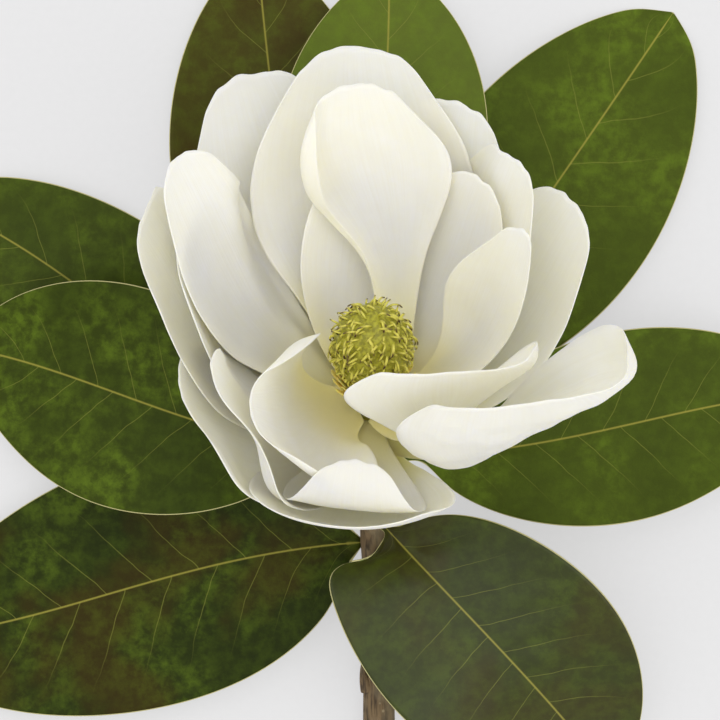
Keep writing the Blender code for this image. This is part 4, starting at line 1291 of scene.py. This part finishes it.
def add_cone(settings):
    """The carpel cone: swollen carpels in a spiral, each with a curled style, and thin ones between them."""
    outline = [
        (0, AXIS_FOOT),
        (AXIS_RADIUS - AXIS_EDGE, AXIS_FOOT),
        (AXIS_RADIUS, AXIS_FOOT + EDGE_HEIGHT),
        (AXIS_RADIUS, NECK_TOP),
    ]
    for band in range(1, CONE_BANDS):
        height = blend(LOWEST_BAND, HIGHEST_BAND, band / CONE_BANDS)
        least = AXIS_RADIUS * NECK_SHARE if band < NECK_BANDS else 0
        outline.append((max(cone_radius(height), least), height))
    outline.append((0, CONE_TOP))
    cone = turned(outline, CONE_SIDES)
    cone.verts.layers.float.new("style")
    cone.verts.layers.float.new("dried")
    seats = list(style_seats(CURLED_STYLES, settings.styles))
    cone.normal_update()
    for vertex in cone.verts:
        if vertex.co.z > CONE_START:
            nearest = min((vertex.co - seat[0]).length for seat in seats)
            vertex.co += vertex.normal * CARPEL_SWELL * max(0.0, 1 - (nearest / CARPEL_REACH) ** 2)
    rng = random.Random(STYLE_SEED)
    for seat in seats:
        add_style(cone, CURLED_STYLES, seat, settings.style_length, settings.style_radius, rng)
    for seat in style_seats(THIN_STYLES, settings.thin_styles):
        add_style(cone, THIN_STYLES, seat, rng.uniform(*THIN_STYLE_LENGTHS), THIN_STYLE_RADIUS, rng)
    bmesh.ops.transform(cone, matrix=stand_on(HEART, AXIS, SIDEWAYS), verts=cone.verts)
    dress(new_object("carpel_cone", cone, [cone_finish(settings)]), "carpel_cone")


def paddle_shape(settings, length, bow):
    """A soft flat paddle along +Z from the origin, bowed to +X, as a closed shape."""
    paddle = bmesh.new()
    bmesh.ops.create_cube(paddle, size=1.0)
    size = (settings.stamen_thickness, settings.stamen_width, length)
    bmesh.ops.scale(paddle, verts=paddle.verts, vec=size)
    bmesh.ops.translate(paddle, verts=paddle.verts, vec=(0, 0, length / 2))
    bmesh.ops.bevel(
        paddle, geom=rising_edges(paddle, length), offset=STAMEN_EDGE, offset_type="OFFSET", segments=2,
        profile=0.5, affect="EDGES", material=-1,
    )
    edges = rising_edges(paddle, length)
    bmesh.ops.subdivide_edges(paddle, edges=edges, cuts=STAMEN_STEPS - 1, use_grid_fill=True)
    height = paddle.verts.layers.float.new("height")
    for vertex in paddle.verts:
        share = vertex.co.z / length
        vertex[height] = share
        belly = math.sin(math.pi * min(share * STAMEN_BELLY, 1.0))
        vertex.co.y *= blend(STAMEN_WAIST, 1.0, belly) * blend(1.0, STAMEN_TIP_WIDTH, share**6)
        vertex.co.x *= blend(1.0, STAMEN_TIP_THICKNESS, share**4)
        vertex.co.x += bow * share**2
    return paddle


def add_stamens(settings):
    """The stamens: soft flat paddles in two rows that stand out of one collar round the axis."""
    outline = [
        (COLLAR_INNER, COLLAR_START),
        (COLLAR_OUTER - COLLAR_EDGE, COLLAR_START),
        (COLLAR_OUTER, COLLAR_START + EDGE_HEIGHT),
        (COLLAR_OUTER, COLLAR_END - EDGE_HEIGHT),
        (COLLAR_OUTER - COLLAR_EDGE, COLLAR_END),
        (COLLAR_INNER, COLLAR_END),
        (COLLAR_INNER, COLLAR_START),
    ]
    whole = turned(outline, COLLAR_SIDES)
    whole.verts.layers.float.new("height")
    rng = random.Random(STAMEN_SEED)
    for number in range(settings.stamens):
        row = number % 2
        turn = math.tau * number / settings.stamens
        tilt = math.radians(STAMEN_TILT + ROW_TILT * row + rng.uniform(-STAMEN_STRAY, STAMEN_STRAY))
        length = settings.stamen_length * rng.uniform(*STAMEN_LENGTHS)
        paddle = paddle_shape(settings, length, STAMEN_BOW * (1 - row * ROW_BOW))
        out = heading(turn, 0)
        root = out * (COLLAR_OUTER - STAMEN_ROOT_IN)
        root.z = COLLAR_END - STAMEN_ROOT_DOWN - ROW_DOWN * row
        way = heading(turn, QUARTER_TURN - tilt)
        bmesh.ops.transform(paddle, matrix=stand_on(root, way, out), verts=paddle.verts)
        add_part(whole, paddle)
    bmesh.ops.transform(whole, matrix=stand_on(HEART, AXIS, SIDEWAYS), verts=whole.verts)
    dress(new_object("stamens", whole, [stamen_finish(settings)]), "stamens")


def add_twig(settings):
    """The twig: a bent round stem with furrowed bark, ringed by old leaf scars, and one side bud."""
    route = np.array([list(place) for place in twig_route()])
    twig = bmesh.new()
    bmesh.ops.create_grid(twig, x_segments=settings.steps, y_segments=settings.sides, size=1.0)
    shares = [((vertex.co.x + 1) / 2, (vertex.co.y + 1) * math.pi) for vertex in twig.verts]
    places = spline_weights([along for along, turn in shares], len(route)) @ route
    ahead = spline_weights([min(along + DIRECTION_SPAN, 1) for along, turn in shares], len(route)) @ route
    behind = spline_weights([max(along - DIRECTION_SPAN, 0) for along, turn in shares], len(route)) @ route
    for vertex, (along, turn), middle, after, before in zip(twig.verts, shares, places, ahead, behind):
        way = Vector(after - before).normalized()
        side = (SIDEWAYS - way * way.x).normalized()
        out = side * math.cos(turn) + way.cross(side) * math.sin(turn)
        swelling = max(math.exp(-(((middle[1] / MM - scar) / SCAR_WIDTH) ** 2)) for scar in SCARS)
        ridge = noise.noise(heading(turn, 0) * BARK_ROUND + Vector((0, 0, middle[1] * BARK_ALONG)))
        radius = twig_radius(middle[1]) + settings.roughness * ridge + SCAR_SWELL * swelling
        place = Vector(middle) + out * radius
        vertex.co = Vector((place.x, place.y, max(place.z, TWIG_CLEARANCE)))
    bmesh.ops.remove_doubles(twig, verts=twig.verts, dist=MERGE)
    filled = bmesh.ops.holes_fill(twig, edges=[edge for edge in twig.edges if edge.is_boundary], sides=0)
    for face in filled["faces"]:
        if face.calc_center_median().y < CUT_PLACE:
            face.material_index = 1
    bmesh.ops.recalc_face_normals(twig, faces=twig.faces)
    bud = bent_horn(BUD_LENGTH, BUD_RADIUS, BUD_TIP_RADIUS, BUD_BEND, BUD_SIDES, BUD_STEPS)
    bmesh.ops.transform(bud, matrix=stand_on(BUD_PLACE, BUD_WAY, SIDEWAYS), verts=bud.verts)
    add_part(twig, bud)
    piece = new_object("stem", twig, [bark_finish(settings), cut_finish(settings)])
    piece.data.set_sharp_from_angle(angle=SHARP_EDGE)
    dress(piece, "stem")


def add_light(name, place, width, power):
    """A square soft light at a place that looks at the bloom."""
    lamp = bpy.data.lights.new(name, "AREA")
    lamp.shape = "SQUARE"
    lamp.size = width
    lamp.energy = power
    light = bpy.data.objects.new(name, lamp)
    light.location = place
    light.rotation_euler = (LIT_PLACE - Vector(place)).to_track_quat("-Z", "Y").to_euler()
    bpy.context.scene.collection.objects.link(light)


def add_stage(settings):
    """The floor, the lights and the camera, which looks straight down on the bloom."""
    paper = bmesh.new()
    bmesh.ops.create_grid(paper, x_segments=1, y_segments=1, size=FLOOR_HALF)
    floor = new_object("studio_floor", paper, [floor_finish(settings)])
    add_light("large_soft_light", KEY_PLACE, KEY_WIDTH, settings.key)
    add_light("fill_light", FILL_PLACE, FILL_WIDTH, settings.fill)
    world = bpy.data.worlds.new("pale_studio")
    bpy.context.scene.world = world
    world.use_nodes = True
    tree = world.node_tree
    # The studio is brightest round the camera overhead, so light reaches into the bloom
    around = add_node(tree, "TexCoord", {}, "Generated")
    height = add_node(tree, "SeparateXYZ", {0: around}, 2)
    levels = {0: height, 1: BRIGHTENING[0], 2: BRIGHTENING[1], 3: settings.sky, 4: settings.zenith}
    strength = add_node(tree, "MapRange", levels, **SOFT)
    set_inputs(tree, tree.nodes["Background"], {"Color": linear("F9F8F5"), "Strength": strength})
    bpy.context.scene.view_settings.view_transform = "Standard"
    lens = bpy.data.cameras.new("camera")
    lens.sensor_width = SENSOR_WIDTH
    lens.lens = SENSOR_WIDTH / settings.view_width
    camera = bpy.data.objects.new("camera", lens)
    camera.location = (*BELOW_CAMERA, settings.camera_height)
    bpy.context.scene.collection.objects.link(camera)
    bpy.context.scene.camera = camera


class MAGNOLIA_OT_add_petals(bpy.types.Operator):
    """Adds the petals"""

    bl_idname = "magnolia.add_petals"
    bl_label = "Add Petals"

    def execute(self, context):
        settings = context.scene.magnolia_petals
        finish = petal_finish(settings)
        for number, node in enumerate(sorted(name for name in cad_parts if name.startswith("petal"))):
            add_petal(number, node, settings, finish)
        return {"FINISHED"}


class MAGNOLIA_OT_add_cone(bpy.types.Operator):
    """Adds the carpel cone"""

    bl_idname = "magnolia.add_cone"
    bl_label = "Add Carpel Cone"

    def execute(self, context):
        add_cone(context.scene.magnolia_heart)
        return {"FINISHED"}


class MAGNOLIA_OT_add_stamens(bpy.types.Operator):
    """Adds the stamens"""

    bl_idname = "magnolia.add_stamens"
    bl_label = "Add Stamens"

    def execute(self, context):
        add_stamens(context.scene.magnolia_heart)
        return {"FINISHED"}


class MAGNOLIA_OT_add_leaves(bpy.types.Operator):
    """Adds the leaves"""

    bl_idname = "magnolia.add_leaves"
    bl_label = "Add Leaves"

    def execute(self, context):
        settings = context.scene.magnolia_leaves
        underside = underside_finish(settings)
        for number, (node, leaf) in enumerate(LEAVES.items()):
            add_leaf(number, node, leaf, settings, underside)
        return {"FINISHED"}


class MAGNOLIA_OT_add_twig(bpy.types.Operator):
    """Adds the twig"""

    bl_idname = "magnolia.add_twig"
    bl_label = "Add Twig"

    def execute(self, context):
        add_twig(context.scene.magnolia_twig)
        return {"FINISHED"}


class MAGNOLIA_OT_add_stage(bpy.types.Operator):
    """Adds the floor, the light and the camera"""

    bl_idname = "magnolia.add_stage"
    bl_label = "Add Stage"

    def execute(self, context):
        add_stage(context.scene.magnolia_stage)
        return {"FINISHED"}


class MAGNOLIA_PT_panel(bpy.types.Panel):
    """Lists the steps that build the bloom."""

    bl_label = "Magnolia"
    bl_idname = "MAGNOLIA_PT_panel"
    bl_space_type = "VIEW_3D"
    bl_region_type = "UI"
    bl_category = "Magnolia"

    def draw(self, context):
        for step in STEPS:
            self.layout.operator(step.bl_idname)


SETTINGS = {
    "magnolia_petals": MagnoliaPetalSettings,
    "magnolia_heart": MagnoliaHeartSettings,
    "magnolia_leaves": MagnoliaLeafSettings,
    "magnolia_twig": MagnoliaTwigSettings,
    "magnolia_stage": MagnoliaStageSettings,
}
STEPS = [
    MAGNOLIA_OT_add_stage,
    MAGNOLIA_OT_add_petals,
    MAGNOLIA_OT_add_cone,
    MAGNOLIA_OT_add_stamens,
    MAGNOLIA_OT_add_leaves,
    MAGNOLIA_OT_add_twig,
]


def register():
    for name, group in SETTINGS.items():
        bpy.utils.register_class(group)
        setattr(bpy.types.Scene, name, bpy.props.PointerProperty(type=group))
    for step in STEPS:
        bpy.utils.register_class(step)
    bpy.utils.register_class(MAGNOLIA_PT_panel)


def unregister():
    bpy.utils.unregister_class(MAGNOLIA_PT_panel)
    for step in reversed(STEPS):
        bpy.utils.unregister_class(step)
    for name, group in reversed(SETTINGS.items()):
        delattr(bpy.types.Scene, name)
        bpy.utils.unregister_class(group)


def main():
    register()
    bpy.ops.magnolia.add_stage()
    bpy.ops.magnolia.add_petals()
    bpy.ops.magnolia.add_cone()
    bpy.ops.magnolia.add_stamens()
    bpy.ops.magnolia.add_leaves()
    bpy.ops.magnolia.add_twig()


if __name__ == "__main__":
    main()
